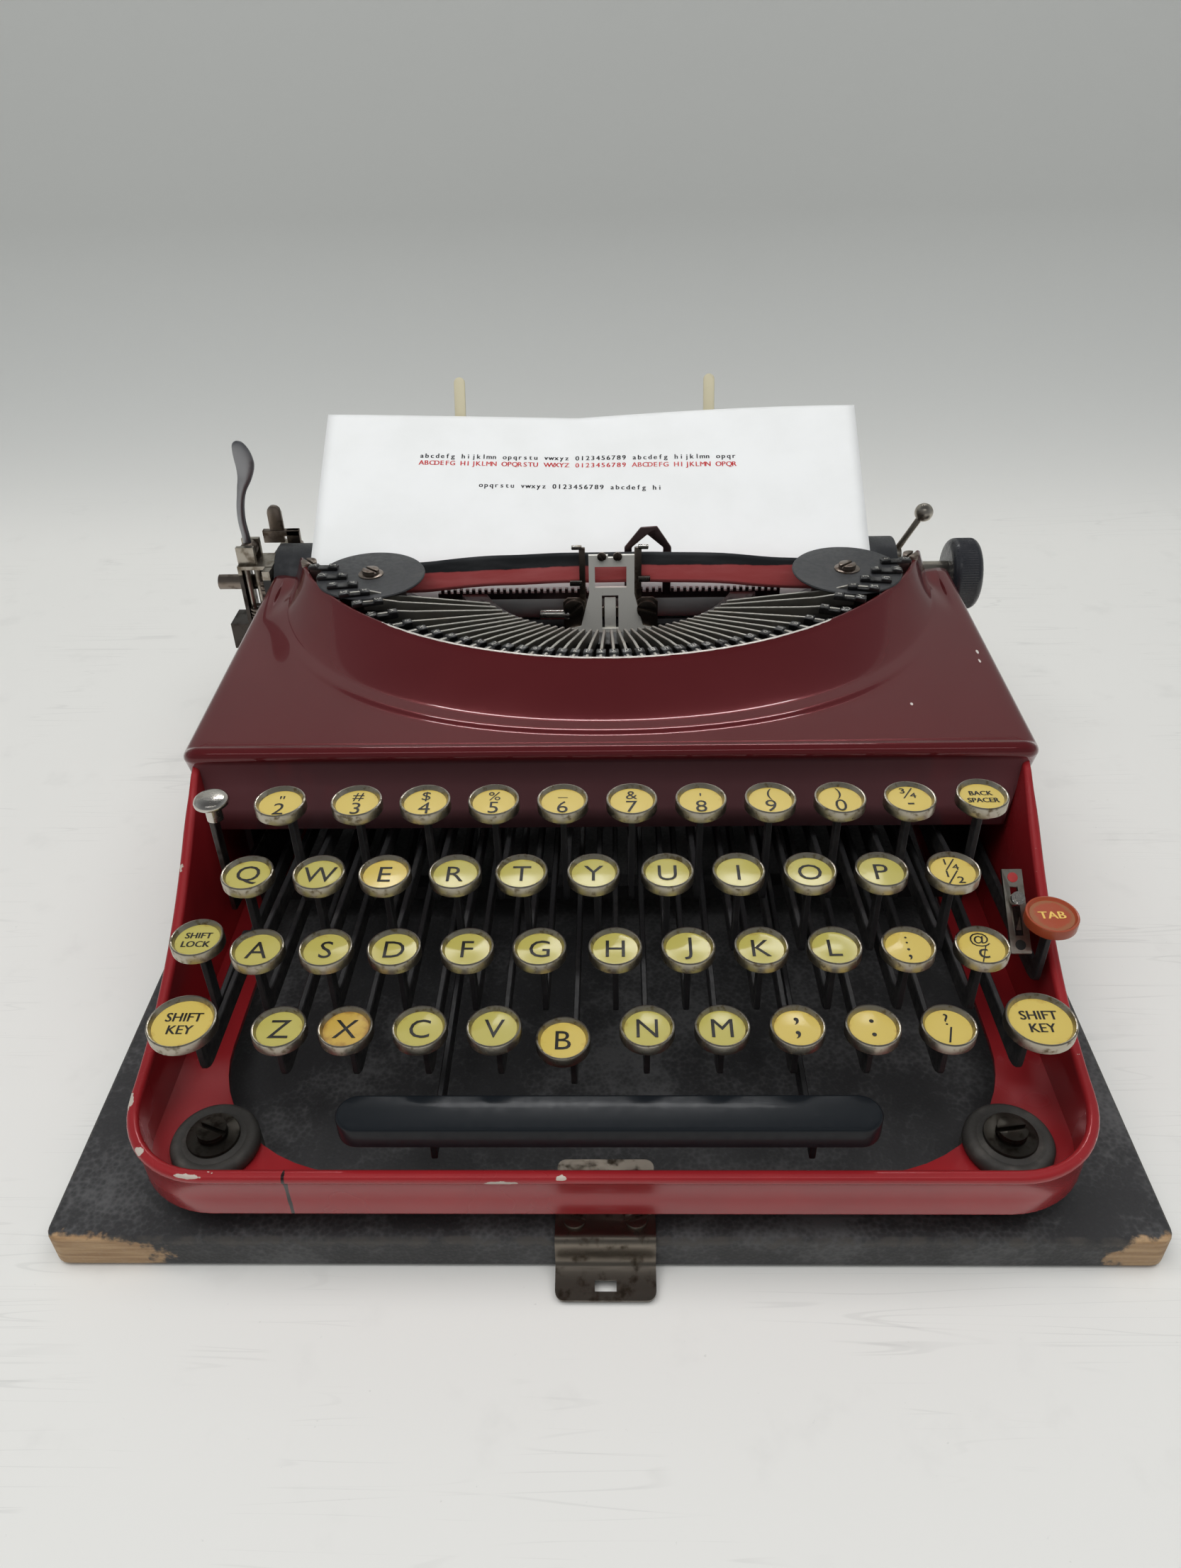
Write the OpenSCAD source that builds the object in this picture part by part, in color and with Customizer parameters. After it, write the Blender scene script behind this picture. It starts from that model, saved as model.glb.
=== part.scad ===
// Portable typewriter on its case's base board, with a sheet of paper in the carriage.
// The origin is on the board's underside, below the middle of the machine.
// +X is the typist's right, +Y is away from the typist, +Z is up. All sizes are in millimetres.

/* [Base board] */
// Width of the base board
board_w = 292; // [284:1:300]
// Depth of the base board
board_d = 294; // [290:1:304]
// Thickness of the base board
board_t = 12; // [9:0.5:16]
// Radius of the board's corners
board_corner = 4; // [2:0.5:8]
// How far the board's middle lies to the left of the machine's middle
board_shift = 1.5; // [0:0.5:3]
// Width of the latch plate on the board's front edge
latch_w = 26; // [20:1:34]
// Thickness of the latch plate
latch_t = 1.2; // [0.8:0.1:1.6]

/* [Lower frame] */
// Width of the frame over its side walls
frame_w = 250; // [248:0.5:254]
// Depth of the frame
frame_d = 284; // [280:1:288]
// Gap between the board and the frame, filled by the rubber feet
foot_gap = 9; // [6:0.5:12]
// Thickness of the frame's walls
wall = 2.2; // [1.6:0.1:2.6]
// Thickness of the frame's floor
floor_t = 2; // [1.6:0.1:3]
// Height of the front wall over the frame's underside
front_wall_h = 16.5; // [14:0.5:19]
// Radius of the frame's front corners
front_corner = 24; // [18:1:28]
// Height of the frame behind the cover, over its underside
rear_wall_h = 25; // [20:0.5:26]
// Diameter of a rubber foot
foot_d = 23.6; // [20:0.2:25]

/* [Top cover] */
// Height of the cover's top over the frame's underside
body_h = 67.5; // [66:0.5:70]
// Depth of the keyboard, from the frame's front to the cover's ridge
keyboard_d = 109; // [106:0.5:112]
// Depth of the cover from its ridge to its rear edge
cover_d = 125; // [123:0.5:125.5]
// Thickness of the cover's sheet
cover_t = 1.6; // [1:0.1:2]
// Height of the cover's front face
cover_face_h = 27.5; // [25:0.5:29]
// Radius of the rolled bead along the ridge
bead_r = 2.2; // [1.6:0.1:3]
// Height of the collar's lip over the cover's top
collar_h = 8.5; // [7:0.5:10]
// How much further than the frame's side the circle of the collar's lip reaches
lip_over = 3; // [1:0.5:5]

/* [Keyboard] */
// Spacing of the keys along a row, as a share of the frame's width
key_share = 0.0762; // [0.0752:0.0002:0.0776]
// Distance from one row of keys to the next, front to back
row_run = 17.7; // [17:0.1:18.4]
// Rise from one row of keys to the next
row_rise = 10.9; // [10:0.1:11.4]
// Outer diameter of a key's ring
key_d = 14.2; // [12:0.1:15]
// Height of a key's ring
key_h = 5; // [4:0.1:6]
// Width of the ring round a key's glass
ring_w = 1.3; // [0.9:0.1:1.8]
// Outer diameter of a shift key's ring
shift_d = 18; // [15:0.5:19]
// Forward tilt of the key tops in degrees
key_tilt = 6; // [0:0.5:10]
// Thickness of a key lever
lever_t = 1.6; // [1.2:0.1:1.8]
// Height of a key lever's bar
lever_h = 6; // [4.5:0.1:6.5]
// Diameter of the shaft that the key levers turn on
shaft_d = 4; // [3:0.1:5]
// Length of the space bar
space_w = 135; // [120:1:145]
// Depth of the space bar
space_d = 11; // [9:0.5:12]
// Thickness of the space bar
space_h = 7; // [5:0.5:8]

/* [Type basket] */
// Number of type bars
bar_count = 42; // [36:1:44]
// Thickness of a type bar
bar_t = 1; // [0.7:0.05:1.2]
// Radius of the segment that the type bars meet
segment_r = 58; // [56:0.5:60]
// Distance from the frame's side to the middle of a ribbon spool
spool_side = 38.2; // [36:0.2:40]
// Radius of a spool's flanges
spool_r = 19.7; // [18:0.1:20]
// Width of the ribbon
ribbon_w = 12.6; // [11:0.1:13]

/* [Carriage] */
// Diameter of the platen
platen_d = 30; // [27:0.2:30.4]
// Length of the platen
platen_w = 243.5; // [235:0.5:252]
// How far the carriage stands left of the machine's middle
carriage_shift = 9.5; // [0:0.5:14]
// Diameter of the platen's shaft
platen_shaft_d = 6; // [5:0.1:7]
// Diameter of the platen's knob
knob_d = 27.8; // [24:0.2:32]
// Length of the platen's knob
knob_w = 11.8; // [10:0.2:18]
// Thickness of the carriage's end plates
end_t = 3; // [2:0.1:3.6]
// Width of the sheet of paper
paper_w = 218; // [200:1:226]
// Length of the part of the sheet that stands out of the platen
paper_out = 73; // [50:1:76]

/* [Hidden] */
$fn = 64;
// Running clearance in a bore, gap between faces that pass, gap between faces that touch,
// and how far a cut goes past the face that it opens
run = 0.05;
gap = 0.3;
seat = 0.1;
through = 1;

// Casing
frame_set = 1;
frame_z = board_t + foot_gap;
front_y = frame_set - board_d / 2;
rear_y = front_y + frame_d;
ridge_y = front_y + keyboard_d;
cover_rear = ridge_y + cover_d;
cover_z = frame_z + body_h;
rim_z = frame_z + front_wall_h;
rim_low = 1.4;
rim_rise = cover_z - cover_t - rim_low - rim_z;
rim_power = 2.2;
rim_bead = 1;
rim_bead_h = 3;
rim_bead_end = 2;
rear_z = frame_z + rear_wall_h;
rear_corner = 12;
floor_z = frame_z + floor_t;
floor_side = 15;
floor_front = 11;
floor_rear = 12;
floor_corner = 44;
floor_rear_corner = 20;
inside = frame_w / 2 - wall;
cover_half = frame_w / 2 + cover_t + seat;
cover_corner = 6;
skirt_h = 13;
bead_end = 4;
bead_out = 1;
bead_up = 1.5;

// Board's latch plate
latch_x = -1;
latch_top_l = 23.5;
latch_drop = 8.4;
latch_out = 9;
latch_tip_z = 0.4;
latch_slot = [9, 3];
latch_slot_in = 2;
latch_screw_x = 8;
latch_screw_y = 5 - board_d / 2;

// Feet and screws
foot_front_x = frame_w / 2 - 20;
foot_rear_x = frame_w / 2 - 27;
foot_front = front_y + 19.5;
foot_rear = rear_y - 16;
foot_neck = 8;
foot_over = 4;
foot_top = floor_z + foot_over;
washer_r = 7;
washer_t = 1;
screw_r = 2;
screw_head = 4;
screw_head_h = 2.5;
latch_head = [3, 1];
guide_head = [2.6, 1.4];
rest_head = [2.8, 4];
slot_w = 1;
slot_h = 1;

// Collar: the foot circle on the cover and the lip circle above it
lip_r = frame_w / 2 + lip_over;
lip_y = ridge_y + 41 + lip_r;
lip_z = cover_z + collar_h;
lip_t = 1.4;
flare_t = 0.2;
foot_circle_r = lip_r - 4;
foot_circle_y = ridge_y + 11.5 + foot_circle_r;

// Side plates and beams of the inner frame
plate_x = inside - 8.3;
plate_t = 2;
plate_front = ridge_y + 7;
plate_front_h = 37;
plate_rear = rear_y - 6;
plate_top = cover_z - 4.5;
plate_top_y = [cover_rear - 34, cover_rear - 4];
beam_z = frame_z + 51;
beam_h = 5;
bridge_y = cover_rear - 7.7;
bridge_t = 4;
bridge_h = 10;
bridge_top = frame_z + 49;
bed_beam_top = frame_z + 23;
bed_beam_t = 4;
bed_beam_y = [cover_rear + 16, cover_rear + 40];
stop_y = ridge_y + 13;
stop_half = 3;
stop_top = frame_z + 7.4;

// Keyboard rows from the front: the middle as a number of keys, the letters and the number of keys
key_pitch = frame_w * key_share;
row_mid = [4.47, 4.89, 5.15, 4.64];
row_letters = ["zxcvbnm", "asdfghjkl", "qwertyuiop", ""];
row_keys = [10, 11, 11, 10];
first_row_y = front_y + 29;
first_row_z = frame_z + 38;
lever_front_z = [22, 27, 32, 36];
shaft_y = front_y + 216;
shaft_z = frame_z + 15;
hub_r = shaft_d / 2 + 3;
stem_w = 4;
stem_drop = key_h * 0.6;
glass_drop = 0.8;
glass_t = 0.6;
low_key = "b";
low_key_sag = 1.2;

// The space bar's arms lie in the free lanes beside these keys of the first row
space_y = first_row_y - 19;
space_z = frame_z + 28;
space_arms = [for (i = [2, 7]) (key_x(0, i) + key_x(2, i + 1)) / 2];
space_arm_z = space_z - space_h - lever_h;

// Shift, lock, back spacer and tabulator keys
shift_x = frame_w / 2 - 15;
shift_y = row_y(0) + 2;
shift_lever_x = plate_x - 7.5;
bail_y = shaft_y + 14;
bail_r = 2;
bail_arm = 3;
lock_x = key_x(1, 0) - key_d - 2.1;
lock_y = row_y(1) + 4;
lock_pin_y = first_row_y + 50;
lock_pin_z = frame_z + 21;
lock_pin_r = 1.5;
lock_lever_x = -shift_lever_x - lever_t - gap;
back_x = shift_lever_x - 4;
back_y = row_y(3) + 1;
tab_x = plate_x + plate_t + 3.5;
tab_y = front_y + 60.5;
tab_z = frame_z + 47;
tab_lever_z = frame_z + 24;

// Ribbon colour plate, parallel to the slope of the keyboard, on a bracket from the side wall
selector_x = inside - 8.8;
selector_y = front_y + 69.6;
selector_z = frame_z + 39.5;
selector_w = 5.6;
selector_l = 24;
selector_t = 1.2;
selector_tilt = 35.5;
selector_slot = [2.2, 14];
selector_leg = [6, 7, 1];
selector_pin_y = 3;
selector_pin_r = 0.9;
selector_pin_h = 3;
selector_knob = [1.9, 2.4];
selector_collar_r = 1.3;

// Type raiser: a bent lever on a pin in the left side plate, with a mushroom knob
raiser_x = 3 - plate_x;
raiser_knob_x = raiser_x + 0.7;
raiser_y = front_y + 84.4;
raiser_z = frame_z + 71;
raiser_pin_y = ridge_y + 22;
raiser_pin_z = frame_z + 27;
raiser_pin_r = 2;
raiser_knob_r = 5;
raiser_knob_h = 3;
raiser_neck_r = 2.4;
raiser_neck_h = 8;

// Type basket: the bars point at the printing place
print_y = cover_rear - 20;
segment_y = cover_rear + 4;
fan_half = 92;
bar_h = 3.5;
bar_inner_z = cover_z + 1.5;
bar_outer_z = cover_z + 6.4;
bar_end = 2;
slug_w = 3.2;
slug_l = 11;
slug_h = 4;
tip_r = lip_r - 3.2;
tip_y = lip_y - 2.5;
rest_w = 14;
rest_out = 4;
rest_in = tip_r - rest_w;
rest_top = bar_outer_z - slug_h - 1.8;
rest_bottom = plate_top;
rest_rear = cover_rear - 8;
rest_screw_x = lip_r - 18;
segment_in = segment_r - 9;
segment_rear = rest_rear - 6;
bar_start_r = segment_r - 4;
segment_top = bar_inner_z - bar_h - seat;

// Plate at the printing place with its window, the toothed line scale and the card loop
guide_y = bridge_y - 1.3;
guide_t = 1.2;
guide_top = frame_z + 76.5;
guide_screw_x = 13.5;
guide_screw_z = frame_z + 45;
guide_edge = 3;
guide_window = [10, 7.5];
guide_slot = [5, 12];
scale_y = bridge_y + bridge_t + 1;
scale_t = 1.4;
scale_h = 5;
scale_top = frame_z + 58.5;
scale_half = 66;
tooth_pitch = 2.4;
tooth_w = 1.2;
tooth_h = 1.5;
scale_leg_x = 50;
scale_leg_w = 4;
loop_x = [10, 23];
loop_top = frame_z + 86;
loop_h = 12;
loop_lean = 3;
wire = 1.2;
vibrator_x = 11;
vibrator_y = guide_y + guide_t + gap;
vibrator_z = bridge_top + 3;
vibrator_t = 1.2;
vibrator_w = 3;
vibrator_h = 26;
vibrator_bar = 4;

// Ribbon, and spools whose upper flange lies over the collar's lip
spool_x = frame_w / 2 - spool_side;
spool_y = cover_rear - 21;
flange_t = 1;
ribbon_z = cover_z - 5.3;
wound_r = 12;
ribbon_t = 0.3;
ribbon_y = spool_y + wound_r + gap;
ribbon_mid_y = cover_rear - 4.4;
ribbon_bend_x = 20;
spool_z = ribbon_z - flange_t - gap;
spool_top = lip_z + gap;
spool_nut = [3.6, 2.6];
spindle_r = 2;
spindle_top = ribbon_z + ribbon_w - 2;
shelf_t = 3;
shelf_in = 14;
shelf_half = 9;
shelf_z = spool_z - shelf_t - gap;

// Carriage
platen_r = platen_d / 2;
platen_y = cover_rear + 2 + platen_r;
platen_z = frame_z + 57;
platen_left = -carriage_shift - platen_w / 2;
platen_right = platen_left + platen_w;
end_gap = 1.2;
left_end = platen_left - end_gap - end_t;
right_end = platen_right + end_gap;
end_front = platen_y - 13;
end_rear = platen_y + 23;
end_bottom = rear_z + 2;
rail_y = [platen_y + 7, platen_y + 15];
rail_z = [bed_beam_top + 6, bed_beam_top + 12];
bed_w = 40;
bed_wall = 4;
bed_roof = 3;
bracket_w = 11;
bracket_left = left_end - bracket_w;
bracket_t = 1.5;
bracket_y = [platen_y - 8, platen_y + 5];
bracket_z = platen_z + 8.6;
bracket_foot = [7.5, 11];
shaft_stub = 10.9;
ratchet_r = 7.8;
ratchet_t = 3;
ratchet_teeth = 24;
ratchet_groove = 0.7;
knob_x = right_end + end_t + 18;
knob_hub_r = 5;
knob_seat = 0.5;
lever_pin_r = 1.5;
lever_pin_hub = 3.3;
return_x = left_end - 7.4;
return_pin_z = bracket_z + bracket_t + 4;
return_ear_y = [platen_y - 6, platen_y + 3];
return_ear = [7, 2, 3];
spoon_h = 43.4;
spoon_w = 3.9;
spoon_stem = 1.8;
spoon_t = 2.4;
spoon_lean = 4.2;
top_pin_y = platen_y + 18.5;
top_pin_z = platen_z + 6;
top_pin_l = 6;
pin_lever_w = 5.4;
line_lever_h = 18.9;
line_tab = [left_end - 3.2, 5.7];
line_bar_x = left_end - 6.4;
line_bar_z = [6, 8.6];
release_pin_z = platen_z;
release_w = 3.4;
release_ball = [8.8, 0, 15.8];
release_ball_r = 3.65;
release_rod_r = 1.3;
release_foot = 2.4;
roller_r = 4;
roller_l = 28;
roller_pitch = 61;
roller_pin_r = 1.5;
roller_angles = [-20, 45];
tie_y = [end_rear - 4, end_rear];
tie_z = [platen_z - 20, platen_z - 16];
table_in = 14;
table_t = 1.2;
table_run = 20;
table_h = 30;
paper_t = 0.3;
paper_r = platen_r + gap;
paper_slope = 31;
paper_left = 2 - carriage_shift - paper_w / 2;
paper_start = 265;
finger_x = [-carriage_shift - 52.1, 51.5 - carriage_shift];
finger_w = 4.6;
finger_t = 2;
finger_run = 33;
finger_rise = 76;
finger_rod = [finger_x[0] - 12, finger_x[1] + 12];
finger_pin_y = end_rear + 6;
finger_pin_z = platen_z - 14;
finger_ear = 3;

LETTERS = [for (r = [0:2]) for (i = [0:len(row_letters[r]) - 1]) [row_letters[r][i], r, i]];

// Places along the keyboard
function row_y(r) = first_row_y + r * row_run;
function row_z(r) = first_row_z + r * row_rise;
function key_x(r, i) = (i - row_mid[r]) * key_pitch;

// Height of the frame's side rim at a depth y, a curve from the front wall up to the ridge
function rim_at(y) = rim_z + rim_rise * pow((y - front_y) / keyboard_d, rim_power);

// Distance from the printing place, along a bar at angle a, to a circle round (0, y) of radius r
function reach(a, y, r) =
    let (d = print_y - y)
    cos(a) * d + sqrt(pow(cos(a) * d, 2) + r * r - d * d);

// Distance from the printing place at which a bar at angle a comes out past a spool, or 0 if it passes clear
function past_spool(a) =
    let (s = [sign(a) * spool_x, spool_y - print_y], u = [sin(a), -cos(a)],
        side = s[0] * u[1] - s[1] * u[0], room = wound_r + 2 * gap + slug_w / 2)
    abs(side) < room ? s * u + sqrt(room * room - side * side) : 0;

// Extrudes a shape drawn in (y, z) along x, from x0 by a width w
module along_x(x0, w) {
    translate([x0, 0, 0]) rotate([90, 0, 90]) linear_extrude(w) children();
}

// Extrudes a shape drawn in (x, z) along y, from y0 by a depth d
module along_y(y0, d) {
    translate([0, y0 + d, 0]) rotate([90, 0, 0]) linear_extrude(d) children();
}

module rod_x(x0, x1, y, z, r) {
    translate([x0, y, z]) rotate([0, 90, 0]) cylinder(r = r, h = x1 - x0);
}

module rod_y(x, y0, y1, z, r) {
    translate([x, y1, z]) rotate([90, 0, 0]) cylinder(r = r, h = y1 - y0);
}

module block(x, y, z) {
    translate([x[0], y[0], z[0]]) cube([x[1] - x[0], y[1] - y[0], z[1] - z[0]]);
}

// Plan outline with half-width h from y0 to y1, front corners rf and rear corners rb
module plan(h, y0, y1, rf, rb) {
    translate([-h, y0 + rf]) square([2 * h, y1 - rb - y0 - rf]);
    translate([-h + rf, y0]) square([2 * (h - rf), rf]);
    translate([-h + rb, y1 - rb]) square([2 * (h - rb), rb]);
    for (s = [-1, 1]) {
        translate([s * (h - rf), y0 + rf]) circle(rf);
        translate([s * (h - rb), y1 - rb]) circle(rb);
    }
}

// Slotted screw standing on z, with a shank of length l below
module slotted_screw(r, h, l, turn) {
    difference() {
        union() {
            cylinder(r = r, h = h);
            translate([0, 0, -l]) cylinder(r = screw_r, h = l + h / 2);
        }
        rotate(turn) translate([-r - through, -slot_w / 2, h - slot_h])
            cube([2 * (r + through), slot_w, slot_h + through]);
    }
}

module at_feet() {
    for (s = [-1, 1]) {
        translate([s * foot_front_x, foot_front, 0]) children();
        translate([s * foot_rear_x, foot_rear, 0]) children();
    }
}

// Key levers and caps

// Bar of a lever at x, from the shaft to a stem at (y, z) whose foot is at lever height lz
module lever_bar(x, y, z, lz) {
    difference() {
        union() {
            rod_x(x - lever_t / 2, x + lever_t / 2, shaft_y, shaft_z, hub_r);
            along_x(x - lever_t / 2, lever_t) polygon([
                [shaft_y, shaft_z - lever_h / 2], [y - stem_w / 2, lz - lever_h / 2],
                [y - stem_w / 2, z], [y + stem_w / 2, z],
                [y + stem_w / 2, lz + lever_h / 2], [shaft_y, shaft_z + lever_h / 2]]);
        }
        rod_x(x - lever_t, x + lever_t, shaft_y, shaft_z, shaft_d / 2 + run);
    }
}

// Ring of a key with its top at the origin
module key_ring(d) {
    difference() {
        translate([0, 0, -key_h]) cylinder(d = d, h = key_h);
        translate([0, 0, -glass_drop - glass_t])
            cylinder(d = d - 2 * ring_w, h = glass_drop + glass_t + through);
    }
}

module key_glass(d) {
    translate([0, 0, -glass_drop - glass_t + run]) cylinder(d = d - 2 * ring_w - 2 * run, h = glass_t);
}

module at_key(x, y, z) {
    translate([x, y, z]) rotate([key_tilt, 0, 0]) children();
}

// Room for a key's cap, with a hair of play below it
module cap_seat(x, y, z, d) {
    at_key(x, y, z) translate([0, 0, -key_h - run]) cylinder(d = d, h = key_h);
}

module key_cap(x, y, z, d) {
    at_key(x, y, z) {
        key_ring(d);
        key_glass(d);
    }
}

// A whole key: a lever whose front is at height lz, and a cap on its stem with its top at (x, y, z)
module key(x, y, z, lz) {
    difference() {
        lever_bar(x, y, z - stem_drop, lz);
        cap_seat(x, y, z, key_d);
    }
    key_cap(x, y, z, key_d);
}

module row_key(r, i, sag = 0) {
    translate([0, shaft_y, shaft_z]) rotate([sag, 0, 0]) translate([0, -shaft_y, -shaft_z])
        key(key_x(r, i), row_y(r), row_z(r), frame_z + lever_front_z[r]);
}

module letter_key(k) {
    color("black") row_key(k[1], k[2], k[0] == low_key ? low_key_sag : 0);
}

module figure_keys() {
    color("black") for (r = [0:3]) for (i = [len(row_letters[r]):row_keys[r] - 1]) row_key(r, i);
}

module space_bar() {
    color("darkslategray") union() {
        block([(space_d - space_w) / 2, (space_w - space_d) / 2],
            [space_y - space_d / 2, space_y + space_d / 2], [space_z - space_h, space_z]);
        for (s = [-1, 1]) translate([s * (space_w - space_d) / 2, space_y, space_z - space_h])
            cylinder(d = space_d, h = space_h);
        for (x = space_arms) lever_bar(x, space_y, space_z - space_h / 2, space_arm_z);
    }
}

// Lever of a shift key, with a bore for the bail behind the shaft
module shift_lever(s) {
    x = s * shift_lever_x;
    difference() {
        union() {
            lever_bar(x, shift_y, row_z(0) - stem_drop, frame_z + lever_front_z[0]);
            block([x - lever_t / 2, x + lever_t / 2], [shaft_y + hub_r - bail_arm, bail_y + bail_arm],
                [shaft_z - bail_arm, shaft_z + bail_arm]);
        }
        cap_seat(s * shift_x, shift_y, row_z(0), shift_d);
        rod_x(x - lever_t, x + lever_t, bail_y, shaft_z, bail_r + run);
        rod_x(-shift_lever_x - lever_t, lever_t - shift_lever_x, lock_pin_y, lock_pin_z, lock_pin_r + run);
    }
}

module shift_keys() {
    color("black") {
        for (s = [-1, 1]) {
            shift_lever(s);
            key_cap(s * shift_x, shift_y, row_z(0), shift_d);
        }
        rod_x(-shift_lever_x - lever_t, shift_lever_x + lever_t, bail_y, shaft_z, bail_r);
    }
}

// The lock turns on its pin in the left shift lever
module shift_lock() {
    z = row_z(1);
    color("black") {
        difference() {
            union() {
                rod_x(lock_lever_x, lever_t / 2 - shift_lever_x, lock_pin_y, lock_pin_z, lock_pin_r);
                rod_x(lock_lever_x - lever_t / 2, lock_lever_x + lever_t / 2, lock_pin_y, lock_pin_z,
                    lever_h / 2);
                along_x(lock_lever_x - lever_t / 2, lever_t) polygon([
                    [lock_pin_y, lock_pin_z - lever_h / 2], [lock_y - stem_w / 2, lock_pin_z - lever_h / 2],
                    [lock_y - stem_w / 2, z - stem_drop], [lock_y + stem_w / 2, z - stem_drop],
                    [lock_y + stem_w / 2, lock_pin_z + lever_h / 2], [lock_pin_y, lock_pin_z + lever_h / 2]]);
            }
            cap_seat(lock_x, lock_y, z, key_d);
        }
        key_cap(lock_x, lock_y, z, key_d);
    }
}

module back_spacer() {
    color("black") key(back_x, back_y, row_z(3), frame_z + lever_front_z[3]);
}

module tab_key() {
    color("orangered") key(tab_x, tab_y, tab_z, tab_lever_z);
}

// Base board, feet and fasteners

module base_board() {
    color("dimgray") translate([-board_shift, 0, 0]) linear_extrude(board_t)
        plan(board_w / 2, -board_d / 2, board_d / 2, board_corner, board_corner);
}

// The latch plate lies on the board, turns down over its front edge and flares forward
module latch_plate() {
    edge = -board_d / 2 - seat;
    tip = edge - latch_t - latch_out;
    color("silver") difference() {
        along_x(latch_x - latch_w / 2, latch_w) polygon([
            [edge + latch_top_l, board_t], [edge + latch_top_l, board_t + latch_t],
            [edge - latch_t, board_t + latch_t], [edge - latch_t, board_t - latch_drop],
            [tip, latch_tip_z + latch_t], [tip, latch_tip_z],
            [edge, board_t - latch_drop - latch_t], [edge, board_t]]);
        translate([latch_x - latch_slot[0] / 2, tip + latch_slot_in, -through])
            cube([latch_slot[0], latch_slot[1], board_t - latch_drop + through]);
        for (s = [-1, 1]) translate([latch_x + s * latch_screw_x, latch_screw_y, board_t - through])
            cylinder(r = screw_r + run, h = latch_t + 2 * through);
    }
}

// Grommet: a flange under the frame's floor, a neck through it and a flange on top
module rubber_feet() {
    color("black") at_feet() difference() {
        union() {
            translate([0, 0, board_t]) cylinder(d = foot_d, h = foot_gap);
            translate([0, 0, board_t]) cylinder(r = foot_neck, h = foot_gap + floor_t + through);
            translate([0, 0, floor_z]) cylinder(d = foot_d, h = foot_over);
        }
        translate([0, 0, board_t - through])
            cylinder(r = screw_r + run, h = foot_top - board_t + 2 * through);
    }
}

module screws() {
    color("silver") {
        at_feet() {
            translate([0, 0, foot_top + washer_t])
                slotted_screw(screw_head, screw_head_h, foot_top + washer_t - board_t, 30);
            translate([0, 0, foot_top]) difference() {
                cylinder(r = washer_r, h = washer_t);
                translate([0, 0, -through]) cylinder(r = screw_r + run, h = washer_t + 2 * through);
            }
        }
        for (s = [-1, 1]) {
            translate([latch_x + s * latch_screw_x, latch_screw_y, board_t + latch_t])
                slotted_screw(latch_head[0], latch_head[1], latch_t, 20 * s);
            translate([s * guide_screw_x, guide_y - seat, guide_screw_z]) rotate([90, 0, 0])
                slotted_screw(guide_head[0], guide_head[1], 1, 35 * s);
            translate([s * rest_screw_x, rest_rear - rest_head[0], rest_top])
                slotted_screw(rest_head[0], rest_head[1], 0, 50 * s);
        }
    }
}

// Casing

// Region under the rim curve, in (y, z), lowered by d
module under_rim(d, bottom) {
    steps = 24;
    polygon(concat(
        [[front_y - skirt_h, bottom], [front_y - skirt_h, rim_z - d]],
        [for (i = [0:steps]) let (y = front_y + keyboard_d * i / steps) [y, rim_at(y) - d]],
        [[ridge_y, cover_z - cover_t - seat - d], [cover_rear, cover_z - cover_t - seat - d],
         [cover_rear, rear_z - d], [rear_y + skirt_h, rear_z - d], [rear_y + skirt_h, bottom]]));
}

module floor_opening() {
    translate([0, 0, frame_z - through]) linear_extrude(floor_t + 2 * through)
        plan(frame_w / 2 - floor_side, front_y + floor_front, shaft_y - floor_rear, floor_corner,
            floor_rear_corner);
}

module frame_shell(grow, drop) {
    intersection() {
        translate([0, 0, frame_z]) linear_extrude(body_h)
            plan(frame_w / 2 + grow, front_y - grow, rear_y + grow, front_corner + grow, rear_corner + grow);
        along_x(-frame_w, 2 * frame_w) under_rim(0, frame_z - through);
        if (drop > 0) along_x(-frame_w, 2 * frame_w) difference() {
            under_rim(-through, frame_z - through);
            under_rim(drop, frame_z - 2 * through);
        }
    }
}

module main_frame() {
    color("crimson") difference() {
        union() {
            frame_shell(0, 0);
            intersection() {
                frame_shell(rim_bead, rim_bead_h);
                block([-frame_w, frame_w], [front_y - skirt_h, ridge_y - rim_bead_end], [frame_z, cover_z]);
            }
        }
        translate([0, 0, floor_z]) linear_extrude(body_h)
            plan(inside, front_y + wall, rear_y - wall, front_corner - wall, rear_corner - wall);
        floor_opening();
        at_feet() translate([0, 0, frame_z - through])
            cylinder(r = foot_neck + run, h = floor_t + 2 * through);
    }
}

// Cover outline, open at the rear
module cover_plan(d) {
    c = cover_corner;
    translate([d - cover_half, ridge_y + c]) square([2 * (cover_half - d), cover_d - c]);
    translate([c - cover_half, ridge_y + d]) square([2 * (cover_half - c), c]);
    for (s = [-1, 1]) translate([s * (cover_half - c), ridge_y + c]) circle(c - d);
}

// Flare of the collar between its two circles, closed below
module flare(drop) {
    translate([0, 0, -drop]) hull() {
        translate([0, foot_circle_y, cover_z - flare_t]) cylinder(r = foot_circle_r, h = flare_t, $fn = 96);
        translate([0, lip_y, lip_z - flare_t]) cylinder(r = lip_r, h = flare_t, $fn = 96);
    }
}

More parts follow.
